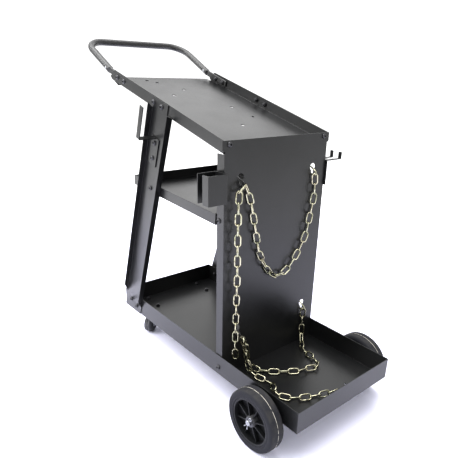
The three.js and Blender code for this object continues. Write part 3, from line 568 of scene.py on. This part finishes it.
def find_flats(work):
    """Numbers faces so that those in one plane share a number, and gives each plane's normal."""
    flat_of, normals, widths = {}, [], []
    for face in work.faces:
        if face in flat_of:
            continue
        number, waiting, total, border = len(normals), [face], Vector(), 0.0
        flat_of[face] = number
        while waiting:
            here = waiting.pop()
            total += here.normal * here.calc_area()
            for edge in here.edges:
                if edge.calc_face_angle(0.0) > FLAT_WITHIN:
                    border += edge.calc_length()
                    continue
                for near in edge.link_faces:
                    if near not in flat_of:
                        flat_of[near] = number
                        waiting.append(near)
        normals.append(total.normalized())
        widths.append(2 * total.length / border)
    return flat_of, normals, widths


def find_borders(work, flat_of):
    """For each flat and corner point, the border edge that leaves it and the one that arrives."""
    leaves, arrives = {}, {}
    for face in work.faces:
        for loop in face.loops:
            if loop.edge.calc_face_angle(0.0) > FLAT_WITHIN:
                start, end = loop.vert, loop.link_loop_next.vert
                leaves[flat_of[face], start] = (loop.edge, end)
                arrives[flat_of[face], end] = (loop.edge, start)
    return leaves, arrives


def edge_radius(edge, flat_of, widths, sheet):
    if edge.calc_face_angle(0.0) < CORNER_ABOVE:
        return 0.0
    if min(widths[flat_of[face]] for face in edge.link_faces) < CUT_FACE * sheet:
        return CUT_EDGE
    return FOLD_OUTSIDE if edge.is_convex else FOLD_INSIDE


print("fold radii", FOLD_OUTSIDE / MM, "and", FOLD_INSIDE / MM, "mm")

# %% Rounded solid
ARC_STEPS = 4
TRIES, LESS_ROUND = 6, 0.5
SAME_PLACE, SAME_WAY = 0.0005 * MM, 0.8
NEARLY_STRAIGHT = 1e-4
SAME_POINT = 1e-5  # in millimetres, for the triangulation


def drawn_in(point, before, after, normal, radii):
    """A flat's corner, moved in from the edge before it and the edge after it by their radii."""
    ways = [normal.cross((b - a).normalized()) for a, b in ((before, point), (point, after))]
    turn = ways[0].dot(ways[1])
    if 1 - turn * turn < NEARLY_STRAIGHT:
        return point + ways[0] * (sum(radii) / 2)
    first = (radii[0] - turn * radii[1]) / (1 - turn * turn)
    second = (radii[1] - turn * radii[0]) / (1 - turn * turn)
    return point + ways[0] * first + ways[1] * second


def fill_flat(points, facing, ring, normal):
    """Triangles over a flat whose border edges are pairs of point numbers."""
    across = normal.orthogonal().normalized()
    upward = normal.cross(across)
    used = sorted({i for pair in ring for i in pair})
    place = {i: k for k, i in enumerate(used)}
    middle = points[used[0]]
    flat = [
        Vector(((points[i] - middle).dot(across), (points[i] - middle).dot(upward))) / MM
        for i in used
    ]
    edges = [(place[a], place[b]) for a, b in ring if a != b]
    filled = delaunay_2d_cdt(flat, edges, [], 0, SAME_POINT)
    ends = np.array([[flat[i] for i in edge] for edge in edges])

    def inside(corners):
        """A line to the right from a triangle's middle crosses the border an odd count."""
        x, y = np.mean([filled[0][k] for k in corners], axis=0)
        (x0, y0), (x1, y1) = ends[:, 0].T, ends[:, 1].T
        level = (y0 > y) != (y1 > y)
        reach = x0 + (y - y0) * (x1 - x0) / np.where(level, y1 - y0, 1.0)
        return np.count_nonzero(level & (reach > x)) % 2

    came_from = []
    for spot, names in zip(filled[0], filled[3]):
        if names:
            came_from.append(used[names[0]])
            continue
        came_from.append(len(points))
        points.append(middle + (across * spot.x + upward * spot.y) * MM)
        facing.append(normal)
    crossed = any(not names for names in filled[3])
    return [tuple(came_from[k] for k in face) for face in filled[2] if inside(face)], crossed


def rounded(work, flat_of, normals, leaves, arrives, radius):
    """Points, faces and normals of a solid, and the flats whose drawn-in border crosses itself."""
    points, facing, faces, spot, other, arcs = [], [], [], {}, {}, {}
    for (flat, vert), (edge, end) in leaves.items():
        before, start = arrives[flat, vert]
        radii = (radius[before], radius[edge])
        spot[flat, vert] = len(points)
        other[flat, vert] = next(n for n in (flat_of[f] for f in edge.link_faces) if n != flat)
        points.append(drawn_in(vert.co, start.co, end.co, normals[flat], radii))
        facing.append(normals[flat])

    def arc(edge, vert, here, there):
        """Point numbers across an edge's round strip at one of its ends."""
        if (edge, vert, here) not in arcs:
            a, b = (points[spot[flat, vert]] for flat in (here, there))
            along = (edge.verts[1].co - edge.verts[0].co).normalized()
            foot = vert.co + along * ((a + b) / 2 - vert.co).dot(along)
            run = [spot[here, vert]]
            for i in range(1, ARC_STEPS):
                t = i / ARC_STEPS
                run.append(len(points))
                points.append(a * (1 - t) ** 2 + foot * (2 * t * (1 - t)) + b * t * t)
                facing.append((normals[here] * (1 - t) + normals[there] * t).normalized())
            run.append(spot[there, vert])
            arcs[edge, vert, here] = run
            arcs[edge, vert, there] = run[::-1]
        return arcs[edge, vert, here]

    for (flat, vert), (edge, end) in leaves.items():
        if edge.calc_face_angle(0.0) < CORNER_ABOVE:
            for corner in (vert, end):
                blend = facing[spot[flat, corner]] + normals[other[flat, vert]]
                facing[spot[flat, corner]] = blend.normalized()

    for (flat, start), (edge, end) in leaves.items():
        there = other[flat, start]
        near, far = arc(edge, start, flat, there), arc(edge, end, flat, there)
        if flat < there:
            for i in range(ARC_STEPS):
                faces.append((near[i], near[i + 1], far[i + 1], far[i]))
    for vert in work.verts:
        around = [flat for flat in {flat_of[f] for f in vert.link_faces} if (flat, vert) in leaves]
        if len(around) < 3:
            continue
        loop, flat = [], around[0]
        for _ in around:
            edge, there = leaves[flat, vert][0], other[flat, vert]
            loop += arc(edge, vert, flat, there)[:-1]
            flat = there
        middle = len(points)
        points.append(sum((points[i] for i in loop), Vector()) / len(loop))
        facing.append(sum((facing[i] for i in loop), Vector()).normalized())
        faces += [(a, b, middle) for a, b in zip(loop, loop[1:] + loop[:1])]
    crossings = set()
    for flat, normal in enumerate(normals):
        ring = [
            (spot[flat, start], spot[flat, end])
            for (one, start), (_, end) in leaves.items() if one == flat
        ]
        filling, crossed = fill_flat(points, facing, ring, normal)
        faces += filling
        if crossed:
            crossings.add(flat)
    return points, faces, facing, crossings


def round_solid(work, sheet):
    """A solid with its edges rounded, less round where a narrow flat leaves no room."""
    flat_of, normals, widths = find_flats(work)
    leaves, arrives = find_borders(work, flat_of)
    radius = {}
    for edge in work.edges:
        if edge.calc_face_angle(0.0) > FLAT_WITHIN:
            radius[edge] = edge_radius(edge, flat_of, widths, sheet)
    for (flat, start), (edge, end) in leaves.items():
        for beside, _ in (arrives[flat, start], leaves[flat, end]):
            radius[edge] = min(radius[edge], SHARE_OF_SIDE * beside.calc_length())
    for _ in range(TRIES):
        *made, crossings = rounded(work, flat_of, normals, leaves, arrives, radius)
        if not crossings:
            break
        for (flat, _), (edge, _) in leaves.items():
            if flat in crossings:
                radius[edge] *= LESS_ROUND
    return welded(*made)


def welded(points, faces, facing):
    """Joins points at one place whose normals agree, and drops the faces that this closes up."""
    here, goes_to, kept = {}, [], []
    for point, normal in zip(points, facing):
        near = here.setdefault(tuple(round(c / SAME_PLACE) for c in point), [])
        same = next((k for k in near if facing[kept[k]].dot(normal) > SAME_WAY), None)
        if same is None:
            same = len(kept)
            kept.append(len(goes_to))
            near.append(same)
        goes_to.append(same)
    faces = [tuple(dict.fromkeys(goes_to[i] for i in face)) for face in faces]
    faces = [face for face in faces if len(face) > 2]
    return [points[i] for i in kept], faces, [facing[i] for i in kept]


def fold(node, finish, sheet, body="cart"):
    """Shows a copy of a CAD node with rounded folds and eased cut edges."""
    work = bmesh.new()
    work.from_mesh(nodes[node].data)
    bmesh.ops.remove_doubles(work, verts=work.verts[:], dist=WELD_DISTANCE)
    work.normal_update()
    points, faces, facing = round_solid(work, sheet)
    work.free()
    mesh = bpy.data.meshes.new(f"{node}_sheet")
    mesh.from_pydata([tuple(p) for p in points], [], faces)
    mesh.validate()
    turn_out(mesh, facing)
    made = show(f"{node}_sheet", mesh, finish, body, [node])
    mesh.normals_split_custom_set_from_vertices([tuple(n) for n in facing])
    return made


def turn_out(mesh, facing):
    """Turns over each face that looks away from its points' normals."""
    work = bmesh.new()
    work.from_mesh(mesh)
    work.normal_update()
    for face in work.faces:
        if face.normal.dot(sum((facing[v.index] for v in face.verts), Vector())) < 0:
            face.normal_flip()
    work.to_mesh(mesh)
    work.free()


SHEET, STRIP, FORK_SHEET = 1.5 * MM, 2.0 * MM, 2.5 * MM
SHEET_NODES = [
    "bottom_tray", "back_panel", "middle_shelf", "top_shelf", "right_post", "left_post",
    "right_axle_bracket", "left_axle_bracket",
]
STRIP_NODES = ["cable_hook", "torch_holder", "fork_hook"]
for names, thickness in ((SHEET_NODES, SHEET), (STRIP_NODES, STRIP)):
    for node in names:
        tell(fold(node, powder_coat, thickness))

# %% [markdown]
# ## Push handle
# One length of round tube with two bends. Its ends are crushed flat in a press so that two
# screws can hold them inside the shelf's flanges, and a rivet through each arm keeps the crushed
# wall shut. A round section that turns into a flat one is a loft with a changing ring: an
# ellipse whose power grows until its sides are flat.

# %% Handle
TUBE_RADIUS = 8 * MM
BEND_RADIUS = 47 * MM
ARM_X = 141.2 * MM
BAR = Vector((0, -0.4023, 0.7610))
OUTWARD = Vector((0, -0.9007, 0.4344))
ARM_LENGTH = 0.1479
CRIMP = 8 * MM
TONGUE_START = Vector((0, -0.1905, 0.6731))
TONGUE_FLAT, TONGUE_HIGH = 2 * MM, 7 * MM
TUBE_SIDES = 32
BEND_STEPS = 18
CRIMP_STEPS = 6
ROUND_POWER, FLAT_POWER = 2, 5
# Along the tongue's end: distance in metres, shares of its thickness and of its height
TONGUE_TIP = [(0.0, 0.25, 0.75), (0.0007, 0.7, 0.93), (0.002, 1.0, 1.0)]


def tube_ring(x, point, tangent, flat, high, power):
    """A ring of the tube; a higher power than a round ring's has flatter sides."""
    normal = Vector((0, OUTWARD.z, -OUTWARD.y))
    side = normal.cross(tangent).normalized()
    rise = tangent.cross(side).normalized()
    centre = Vector((x, point.y, point.z))
    ring = []
    for c, s in zip(*circle(TUBE_SIDES)):
        across = math.copysign(abs(c) ** (2 / power), c) * flat
        upward = math.copysign(abs(s) ** (2 / power), s) * high
        ring.append(centre + side * across + rise * upward)
    return ring


def arm_rings():
    """Rings of the right arm, from the flat tongue to the end of its bend."""
    on_arm = lambda distance: BAR - OUTWARD * distance
    slope = (on_arm(ARM_LENGTH) - TONGUE_START).normalized()
    rings = []
    for distance, flat, high in TONGUE_TIP:
        place = TONGUE_START + slope * distance
        flat, high = TONGUE_FLAT * flat, TONGUE_HIGH * high
        rings.append(tube_ring(ARM_X, place, slope, flat, high, FLAT_POWER))
    for i in range(CRIMP_STEPS + 1):
        share = i / CRIMP_STEPS
        ease = share * share * (3 - 2 * share)
        flat = TONGUE_FLAT + (TUBE_RADIUS - TONGUE_FLAT) * ease
        high = TONGUE_HIGH + (TUBE_RADIUS - TONGUE_HIGH) * ease
        place = on_arm(ARM_LENGTH - CRIMP * share)
        power = FLAT_POWER + (ROUND_POWER - FLAT_POWER) * ease
        rings.append(tube_ring(ARM_X, place, OUTWARD, flat, high, power))
    for i in range(BEND_STEPS + 1):
        turn = i / BEND_STEPS * math.pi / 2
        x = ARM_X - BEND_RADIUS * (1 - math.cos(turn))
        place = on_arm(BEND_RADIUS * (1 - math.sin(turn)))
        tangent = OUTWARD * math.cos(turn) - Vector((math.sin(turn), 0, 0))
        rings.append(tube_ring(x, place, tangent, TUBE_RADIUS, TUBE_RADIUS, ROUND_POWER))
    return rings


right_arm = arm_rings()
left_arm = [[Vector((-p.x, p.y, p.z)) for p in ring] for ring in right_arm]
skin = loft(right_arm + left_arm[::-1])
tell(make_piece("push_handle", [skin], handle_coat_painted_light, stands_for=["handle"]))

# %% Rivets of the handle
# The rivet heads get bright zinc as a painted highlight: they stand for the glint on each arm's
# painted rivet.
RIVET = [(2.7, -0.8), (2.7, 0.0), (2.3, 0.6), (1.4, 1.0), (0.4, 1.1)]
RIVET_SIDES = 20
PAST_CRIMP = 7 * MM
rivet_at = BAR - OUTWARD * (ARM_LENGTH - CRIMP - PAST_CRIMP)
highlight_rivets = []
for x in (ARM_X, -ARM_X):
    for way in (1, -1):
        out = Matrix.Translation((x + way * TUBE_RADIUS, rivet_at.y, rivet_at.z))
        facing_out = out @ Matrix.Scale(way, 4, (1, 0, 0))
        highlight_rivets.append(moved(turned(RIVET, RIVET_SIDES), facing_out))
tell(make_piece("handle_rivets_painted_highlight", highlight_rivets, bright_zinc))

# %% [markdown]
# ## Rubber and plastic
# The tyres are solid grey-black rubber, matt, with brownish dust where the tread meets the
# ground and a pale line of flash where the two halves of the mould met. That line is a mask on
# the distance along the axle, broken up by noise. The hub is smooth black plastic, greyer on the
# boss, where it is handled.

# %% Rubber and plastic finishes
def along_axle(start):
    """The distance along the axle and the distance from it, in metres."""
    where = start.node("ShaderNodeTexCoord", out="Object")
    split = where.node("ShaderNodeSeparateXYZ", None, {"Vector": where})
    x, y, z = (Field(start.tree, split.socket.node.outputs[k]) for k in range(3))
    return x, (y * y + z * z) ** 0.5


TYRE_MIDDLE = 168.5
WALL_RING = 55 * MM
FLASH = (0.42, 0.4, 0.35)
tyre_rubber, start = new_finish("tyre_rubber")
x, radius = along_axle(start)
grit = noise(start, 900.0)
smear = noise(start, 45.0, 4.0, 0.65)
dust = between(radius, 64 * MM, 67.2 * MM) * between(smear, 0.3, 0.7)
dust_near_ring = (1 - between(abs(radius - WALL_RING), 0.2 * MM, 1.4 * MM)) * 0.4
seam = 1 - between(abs(abs(x) - TYRE_MIDDLE * MM), 0.35 * MM, 0.8 * MM)
on_tread = between(radius, 66.5 * MM, 67.1 * MM)
flash = seam * on_tread * between(noise(start, 140.0, 4.0, 0.7), 0.34, 0.5)
worn = tint(dust + dust_near_ring * smear, (0.0185, 0.019, 0.0235), (0.037, 0.036, 0.036))
close_finish(
    start,
    Base_Color=tint(flash, worn, FLASH),
    Roughness=0.72 + 0.2 * smear,
    Specular_IOR_Level=0.25,
    Normal=bumped(grit + 0.5 * smear, 0.0003, 0.4),
)

# The two pale lines on the caster tread, at the edges of its middle groove, are painted
# highlights.
HIGHLIGHT_LINE_AT = 3.4 * MM
caster_rubber, start = new_finish("caster_rubber")
x, radius = along_axle(start)
line = 1 - between(abs(abs(x) - HIGHLIGHT_LINE_AT), 0.25 * MM, 0.7 * MM)
line = line * between(radius, 23 * MM, 24.2 * MM)
scuff = noise(start, 160.0, 4.0, 0.62)
scuffed = tint(scuff, (0.03, 0.03, 0.034), (0.06, 0.06, 0.066))
close_finish(
    start,
    Base_Color=tint(line * 0.7, scuffed, (0.4, 0.4, 0.4)),
    Roughness=0.6 + 0.25 * scuff,
    Normal=bumped(noise(start, 1200.0, 2.0), 0.0002, 0.35),
)

hub_plastic, start = new_finish("hub_plastic")
_, radius = along_axle(start)
swirl = noise(start, 60.0)
moulded = tint(swirl, (0.005, 0.0055, 0.0065), (0.009, 0.0095, 0.011))
boss = 1 - between(radius, 12.3 * MM, 13.2 * MM)
close_finish(
    start,
    Base_Color=tint(boss * 0.9, moulded, (0.075, 0.075, 0.08)),
    Roughness=0.42 + 0.2 * swirl,
    Specular_IOR_Level=0.3,
    Normal=bumped(noise(start, 700.0, 2.0), 0.00015, 0.3),
)
print([m.name for m in (tyre_rubber, caster_rubber, hub_plastic)])

# %% [markdown]
# ## Rear wheels
# A tyre is a closed profile turned round the axle: flat walls with a shallow ring, soft
# shoulders and a raised mould line round the tread. Both halves of it are alike, so only one is
# written down. The hub has a rim, a web in its middle, a boss and eight thin ribs that fall from
# the boss to the rim. The right wheel is turned once and mirrored for the left.

# %% Wheels
AXLE_AT = Matrix.Translation((0, 313.8 * MM, 67.65 * MM))
HALF_TYRE = [
    (50.6, 152.0), (51.2, 151.2), (53.8, 151.0), (54.6, 151.5), (55.6, 151.5), (56.4, 151.0),
    (60.6, 151.0), (63.4, 151.8), (65.5, 153.4), (66.7, 155.6), (67.1, 158.2), (67.25, 163.0),
    (67.25, 167.7), (67.65, 168.3),
]
RIM_PROFILE = [
    (46.9, 152.5), (50.3, 152.5), (50.3, 184.5), (46.9, 184.5), (46.3, 183.9), (46.3, 153.1),
]
WEB_PROFILE = [(11.5, 166.5), (46.6, 166.5), (46.6, 170.5), (11.5, 170.5)]
BOSS_PROFILE = [
    (6.4, 145), (11.3, 145), (12, 145.7), (12, 182), (11, 183), (7.2, 183), (6.4, 182.2),
]
TYRE_SIDES, HUB_SIDES = 112, 80
RIBS = 8
RIB_TURN = math.radians(20)
RIB_EASE = 0.6
# Each end of a rib: radius, its low and high side along the axle, half its thickness
RIB_ENDS = ((11.5, 156.0, 181.0, 1.35), (46.6, 158.5, 178.5, 1.05))


def both_halves(half, middle=0.0):
    """A profile that is alike on both sides of a middle, from one half of it."""
    return half + [(radius, 2 * middle - x) for radius, x in reversed(half)]


def rib(angle):
    """A thin rib of the hub, from its boss to its rim."""
    out = Vector((0, math.cos(angle), math.sin(angle)))
    aside = Vector((0, -math.sin(angle), math.cos(angle)))
    rings = []
    for radius, low, high, thin in RIB_ENDS:
        outline = [
            (low, -thin), (high - RIB_EASE, -thin), (high, -thin + RIB_EASE),
            (high, thin - RIB_EASE), (high - RIB_EASE, thin), (low, thin),
        ]
        rings.append([
            (out * radius + aside * t + Vector((x, 0, 0))) * MM for x, t in outline
        ])
    return loft(rings)


def mirrored(shells):
    return [([(-x, y, z) for x, y, z in points], faces) for points, faces in shells]


tyre_shells = [turned(both_halves(HALF_TYRE, TYRE_MIDDLE), TYRE_SIDES, closed=True)]
hub_profiles = (RIM_PROFILE, WEB_PROFILE, BOSS_PROFILE)
hub_shells = [turned(profile, HUB_SIDES, closed=True) for profile in hub_profiles]
hub_shells += [rib(RIB_TURN + i * math.tau / RIBS) for i in range(RIBS)]
SIDES = {"right": lambda shells: shells, "left": mirrored}
for side, turn_over in SIDES.items():
    body = f"{side}_wheel"
    tell(make_piece(f"{side}_tyre_rubber", turn_over(tyre_shells), tyre_rubber, body,
                    [f"{side}_tyre"], AXLE_AT))
    tell(make_piece(f"{side}_hub_plastic", turn_over(hub_shells), hub_plastic, body,
                    [f"{side}_hub"], AXLE_AT))

# %% [markdown]
# ## Axle, washers and split pins
# The axle is a plain bright rod. A washer and a split pin keep each wheel on. The pin is one
# piece of wire bent back on itself, with an eye at one end and two legs that are spread by hand,
# so it is swept along its own bent line instead of being put together from rods.

# %% Axle line
AXLE_HALF = 189.8
ROD_SIDES = 40
PIN_X, PIN_WIRE, PIN_TILT = 186.8, 1.15, math.radians(25)
EYE_AT, EYE_RADIUS = -12, 3.1
# Points of the pin's wire: distance down from the axle's middle, distance aside
FIRST_LEG = [(18.6, -4.6), (14, -3.0), (10, -1.7), (8, -1.2), (0, -1.15), (-8, -1.2)]
SECOND_LEG = [(-8, 1.2), (0, 1.15), (8, 1.2), (10, 1.8), (13.5, 3.2), (17.4, 4.9)]


def wire(line, radius):
    """A round wire along points, with its section carried smoothly round the bends."""
    ways = [(b - a).normalized() for a, b in zip([line[0]] + line[:-1], line[1:] + [line[-1]])]
    side = ways[0].orthogonal().normalized()
    rings = []
    for point, way in zip(line, ways):
        side = (side - way * side.dot(way)).normalized()
        rise = way.cross(side)
        around = zip(*circle(WIRE_SIDES))
        rings.append([point + (side * c + rise * s) * radius for c, s in around])
    return loft(rings)


def split_pin():
    down = Vector((0, -math.sin(PIN_TILT), -math.cos(PIN_TILT)))
    aside = Vector((0, math.cos(PIN_TILT), -math.sin(PIN_TILT)))
    turns = [math.radians(degrees) for degrees in range(-150, 151, 20)]
    eye = [(EYE_AT - EYE_RADIUS * math.cos(a), EYE_RADIUS * math.sin(a)) for a in turns]
    line = [
        (Vector((PIN_X, 0, 0)) + down * d + aside * s) * MM
        for d, s in FIRST_LEG + eye + SECOND_LEG
    ]
    return wire(line, PIN_WIRE * MM)


rod = both_halves([(5.0, -AXLE_HALF), (6, 1 - AXLE_HALF)])
make_piece("axle_rod", [turned(rod, ROD_SIDES)], bright_zinc, "cart", ["axle"], AXLE_AT)
WASHER_PROFILE = [
    (6.5, 183.4), (10.7, 183.4), (11, 183.7), (11, 184.5), (10.7, 184.8), (6.5, 184.8),
]
washer = [turned(WASHER_PROFILE, ROD_SIDES, closed=True)]
pin = [split_pin()]
for side, turn_over in SIDES.items():
    tell(make_piece(f"{side}_washer_zinc", turn_over(washer), dull_zinc, "cart",
                    [f"{side}_outer_washer"], AXLE_AT))
    tell(make_piece(f"{side}_pin_wire", turn_over(pin), bright_zinc, "cart",
                    [f"{side}_split_pin"], AXLE_AT))

# %% [markdown]
# ## Casters
# Each caster hangs from a pressed plate: a fork turns under it and a small ribbed wheel turns in
# the fork. Plate and fork are sheet, so they are folded like the tray. The wheel's axis is
# turned to the place that the caster had in the picture, and the wheel is made on its own axis,
# so that its lines follow the tread when it rolls.

# %% Casters
CASTER_TURN = Matrix.Rotation(math.radians(122.5), 4, "Z")
CASTER_WHEELS = {"right": (0.101368, -0.217754, 0.025), "left": (-0.067632, -0.217754, 0.025)}
HALF_CASTER = [
    (3.4, -9.2), (8, -9.2), (9, -8.2), (15, -8.2), (16, -9.8), (21.6, -10), (23.6, -9), (24.7, -7),
    (25, -4.6), (25, -3.8), (24.6, -3.3),
]
HALF_PIN = [(4.2, -16.8), (5.5, -15.8), (5.5, -13.8), (3, -13.8)]
PIN_SIDES, TREAD_SIDES = 32, 72
tread = [turned(both_halves(HALF_CASTER), TREAD_SIDES, closed=True)]
pin = [turned(both_halves(HALF_PIN), PIN_SIDES)]
for side, centre in CASTER_WHEELS.items():
    place = Matrix.Translation(centre) @ CASTER_TURN
    fold(f"{side}_caster_plate", bright_zinc, FORK_SHEET)
    fold(f"{side}_caster_fork", bright_zinc, FORK_SHEET, f"{side}_caster")
    tell(make_piece(f"{side}_caster_pin_zinc", pin, bright_zinc, f"{side}_caster",
                    [f"{side}_caster_pin"], place))
    tell(make_piece(f"{side}_caster_tread", tread, caster_rubber,
                    f"{side}_caster_roller", [f"{side}_caster_wheel"], place))

# %% [markdown]
# ## Screws
# Every joint of the cart is a black button-head screw with a hexagon socket and a nut. One shell
# runs from the thread's end over the head and down into the socket: round rings until the top of
# the head, then six-sided ones. The nut is a short hexagon with chamfered ends. Each screw is
# placed from the box of its CAD node and turned a little further than the last, as nobody lines
# them up.

# %% Screws
SCREW_SIDES = 36
SOCKET, NUT = 2.0, 4.75
HEAD = [(5.5, 0.0), (5.5, 0.7), (5.25, 1.5), (4.8, 2.3), (4.1, 3.0), (3.2, 3.55), (2.6, 3.8)]
HEAD_HIGH, NUT_HIGH, TAIL = 3.8, 4.5, 2.0
HEX_TURN = math.radians(60)
SHANK, SHANK_TIP, TIP_HIGH = 3, 2.5, 0.5
SOCKET_FLOOR = 1.6
NUT_FACE, NUT_CHAMFER, PAST_CORNERS = 4.8, 0.5, 9
TURN_EACH = 0.7


def screw_ring(x, radius, hexagon=False):
    ring = []
    for k in range(SCREW_SIDES):
        angle = k * math.tau / SCREW_SIDES
        off = (angle + HEX_TURN / 2) % HEX_TURN - HEX_TURN / 2
        reach = radius / math.cos(off) if hexagon else radius
        ring.append(Vector((x, reach * math.cos(angle), reach * math.sin(angle))) * MM)
    return ring


def nut_ring(x, radius):
    """A ring of the nut: the hexagon, cut round by its chamfer."""
    flat = screw_ring(x, NUT, hexagon=True)
    return [
        Vector((p.x, *(Vector(p.yz) * min(1, radius * MM / Vector(p.yz).length)))) for p in flat
    ]


def screw_shells(length):
    """A screw of that length along X, with its head's seat at 0 and its head toward +X."""
    tail = HEAD_HIGH - length
    rings = [screw_ring(tail, SHANK_TIP), screw_ring(tail + TIP_HIGH, SHANK), screw_ring(0, SHANK)]
    rings += [screw_ring(x, r) for r, x in HEAD]
    rings += [screw_ring(x, SOCKET, True) for x in (HEAD_HIGH, SOCKET_FLOOR)]
    low = tail + TAIL
    high = low + NUT_HIGH
    nut = [
        (low, NUT_FACE), (low + NUT_CHAMFER, PAST_CORNERS), (high - NUT_CHAMFER, PAST_CORNERS),
        (high, NUT_FACE),
    ]
    return [loft(rings), loft([nut_ring(x, r) for x, r in nut])]


def screw_axis(node, low, high):
    if "ear_screw" in node:
        return Vector((0, 1, 0))
    if "caster_screw" in node:
        return Vector((0, 0, -1))
    return Vector((math.copysign(1, low.x + high.x), 0, 0))


screw_nodes = sorted(name for name in nodes if "_screw" in name)
for i, node in enumerate(screw_nodes):
    low, high = (Vector(corner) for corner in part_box(node))
    axis = screw_axis(node, low, high)
    length = abs((high - low).dot(axis)) / MM
    seat = (low + high) / 2 + axis * (length / 2 - HEAD_HIGH) * MM
    turn = Vector((1, 0, 0)).rotation_difference(axis).to_matrix().to_4x4()
    place = Matrix.Translation(seat) @ turn @ Matrix.Rotation(TURN_EACH * i, 4, "X")
    shells = screw_shells(length)
    make_piece(f"{node}_steel", shells, black_oxide, "cart", [node], place)
print(len(screw_nodes), "screws")

# %% [markdown]
# ## Floor and light
# The cart stands on a white sweep under broad soft light. A black satin surface shows little of
# its own colour: each sheet mirrors what it faces. So the world is white toward the sweep behind
# the cart and a little greyer toward the room, large panels of light stand where the sheets
# look, and the floor is bright enough to burn out to white away from the cart. The picture's
# blacks are deep, so the view's gamma is lowered a little.

# %% Floor
FLOOR_SIZE = 14.0
# Near the cart the floor is painted darker and bluer, a painted shadow that fades out between NEAR
# and FAR from the middle; the cloud breaks up its edge.
NEAR, FAR = 0.9, 2.2
SHADOW_PAINTED_FLOOR, FAR_FLOOR = (0.86, 0.86, 1.0), (0.98, 0.98, 0.98)
floor_paint, start = new_finish("pale_floor")
where = start.node("ShaderNodeTexCoord", out="Object")
distance = where.node("ShaderNodeVectorMath", {"operation": "LENGTH"}, {0: where}, out="Value")
cloud = noise(start, 3.0)
close_finish(
    start,
    Base_Color=tint(between(distance + 0.2 * cloud, NEAR, FAR), SHADOW_PAINTED_FLOOR, FAR_FLOOR),
    Roughness=0.8 + 0.08 * cloud,
)
half = FLOOR_SIZE / 2
mesh = bpy.data.meshes.new("floor")
corners = [(-half, -half, 0.0), (half, -half, 0.0), (half, half, 0.0), (-half, half, 0.0)]
mesh.from_pydata(corners, [], [(0, 1, 2, 3)])
mesh.materials.append(floor_paint)
floor = bpy.data.objects.new("floor", mesh)
scene.collection.objects.link(floor)
floor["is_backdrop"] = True
print("floor", FLOOR_SIZE, "m wide")

# %% Light panels
SWEEP_WHITE, ROOM_GREY = (1.12, 1.12, 1.12), (0.9, 0.9, 0.9)
SWEEP_WAY = (-0.67, -0.74, 0.0)
ROOM_ENDS, SWEEP_STARTS = -0.35, 0.45
world = bpy.data.worlds.new("studio")
world.use_nodes = True
scene.world = world
air = Field(world.node_tree)
way = air.node("ShaderNodeTexCoord", out="Generated")
toward_sweep = way.node(
    "ShaderNodeVectorMath", {"operation": "DOT_PRODUCT"}, {0: way, 1: SWEEP_WAY}, out="Value"
)
shade = tint(between(toward_sweep, ROOM_ENDS, SWEEP_STARTS), ROOM_GREY, SWEEP_WHITE)
world.node_tree.links.new(shade.socket, world.node_tree.nodes["Background"].inputs["Color"])


def light_panel(name, place, aim, size, watts):
    """A rectangle of light at a place, turned to face a point."""
    lamp = bpy.data.lights.new(name, "AREA")
    lamp.shape = "RECTANGLE"
    lamp.size, lamp.size_y = size
    lamp.energy = watts
    made = bpy.data.objects.new(name, lamp)
    made.location = place
    made.rotation_euler = (Vector(aim) - Vector(place)).to_track_quat("-Z", "Y").to_euler()
    scene.collection.objects.link(made)


light_panel("overhead", (0.5, -0.4, 3.2), (0.1, 0.0, 0), (3.4, 3.4), 185.0)
light_panel("near_floor", (2.4, -1.5, 1.8), (1.5, -1.2, 0), (1.8, 1.8), 75.0)
light_panel("handle_side", (-1.5, -1.9, 1.55), (0, 0, 0.5), (2.6, 1.5), 12.0)
light_panel("front_fill", (0.9, 1.7, 1.2), (0.2, 0.5, 0), (1.5, 1.5), 9.0)
scene.view_settings.view_transform = "Standard"
scene.view_settings.gamma = 0.86
scene.view_settings.exposure = 0.18

# %% Sizes and finish
low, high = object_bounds()
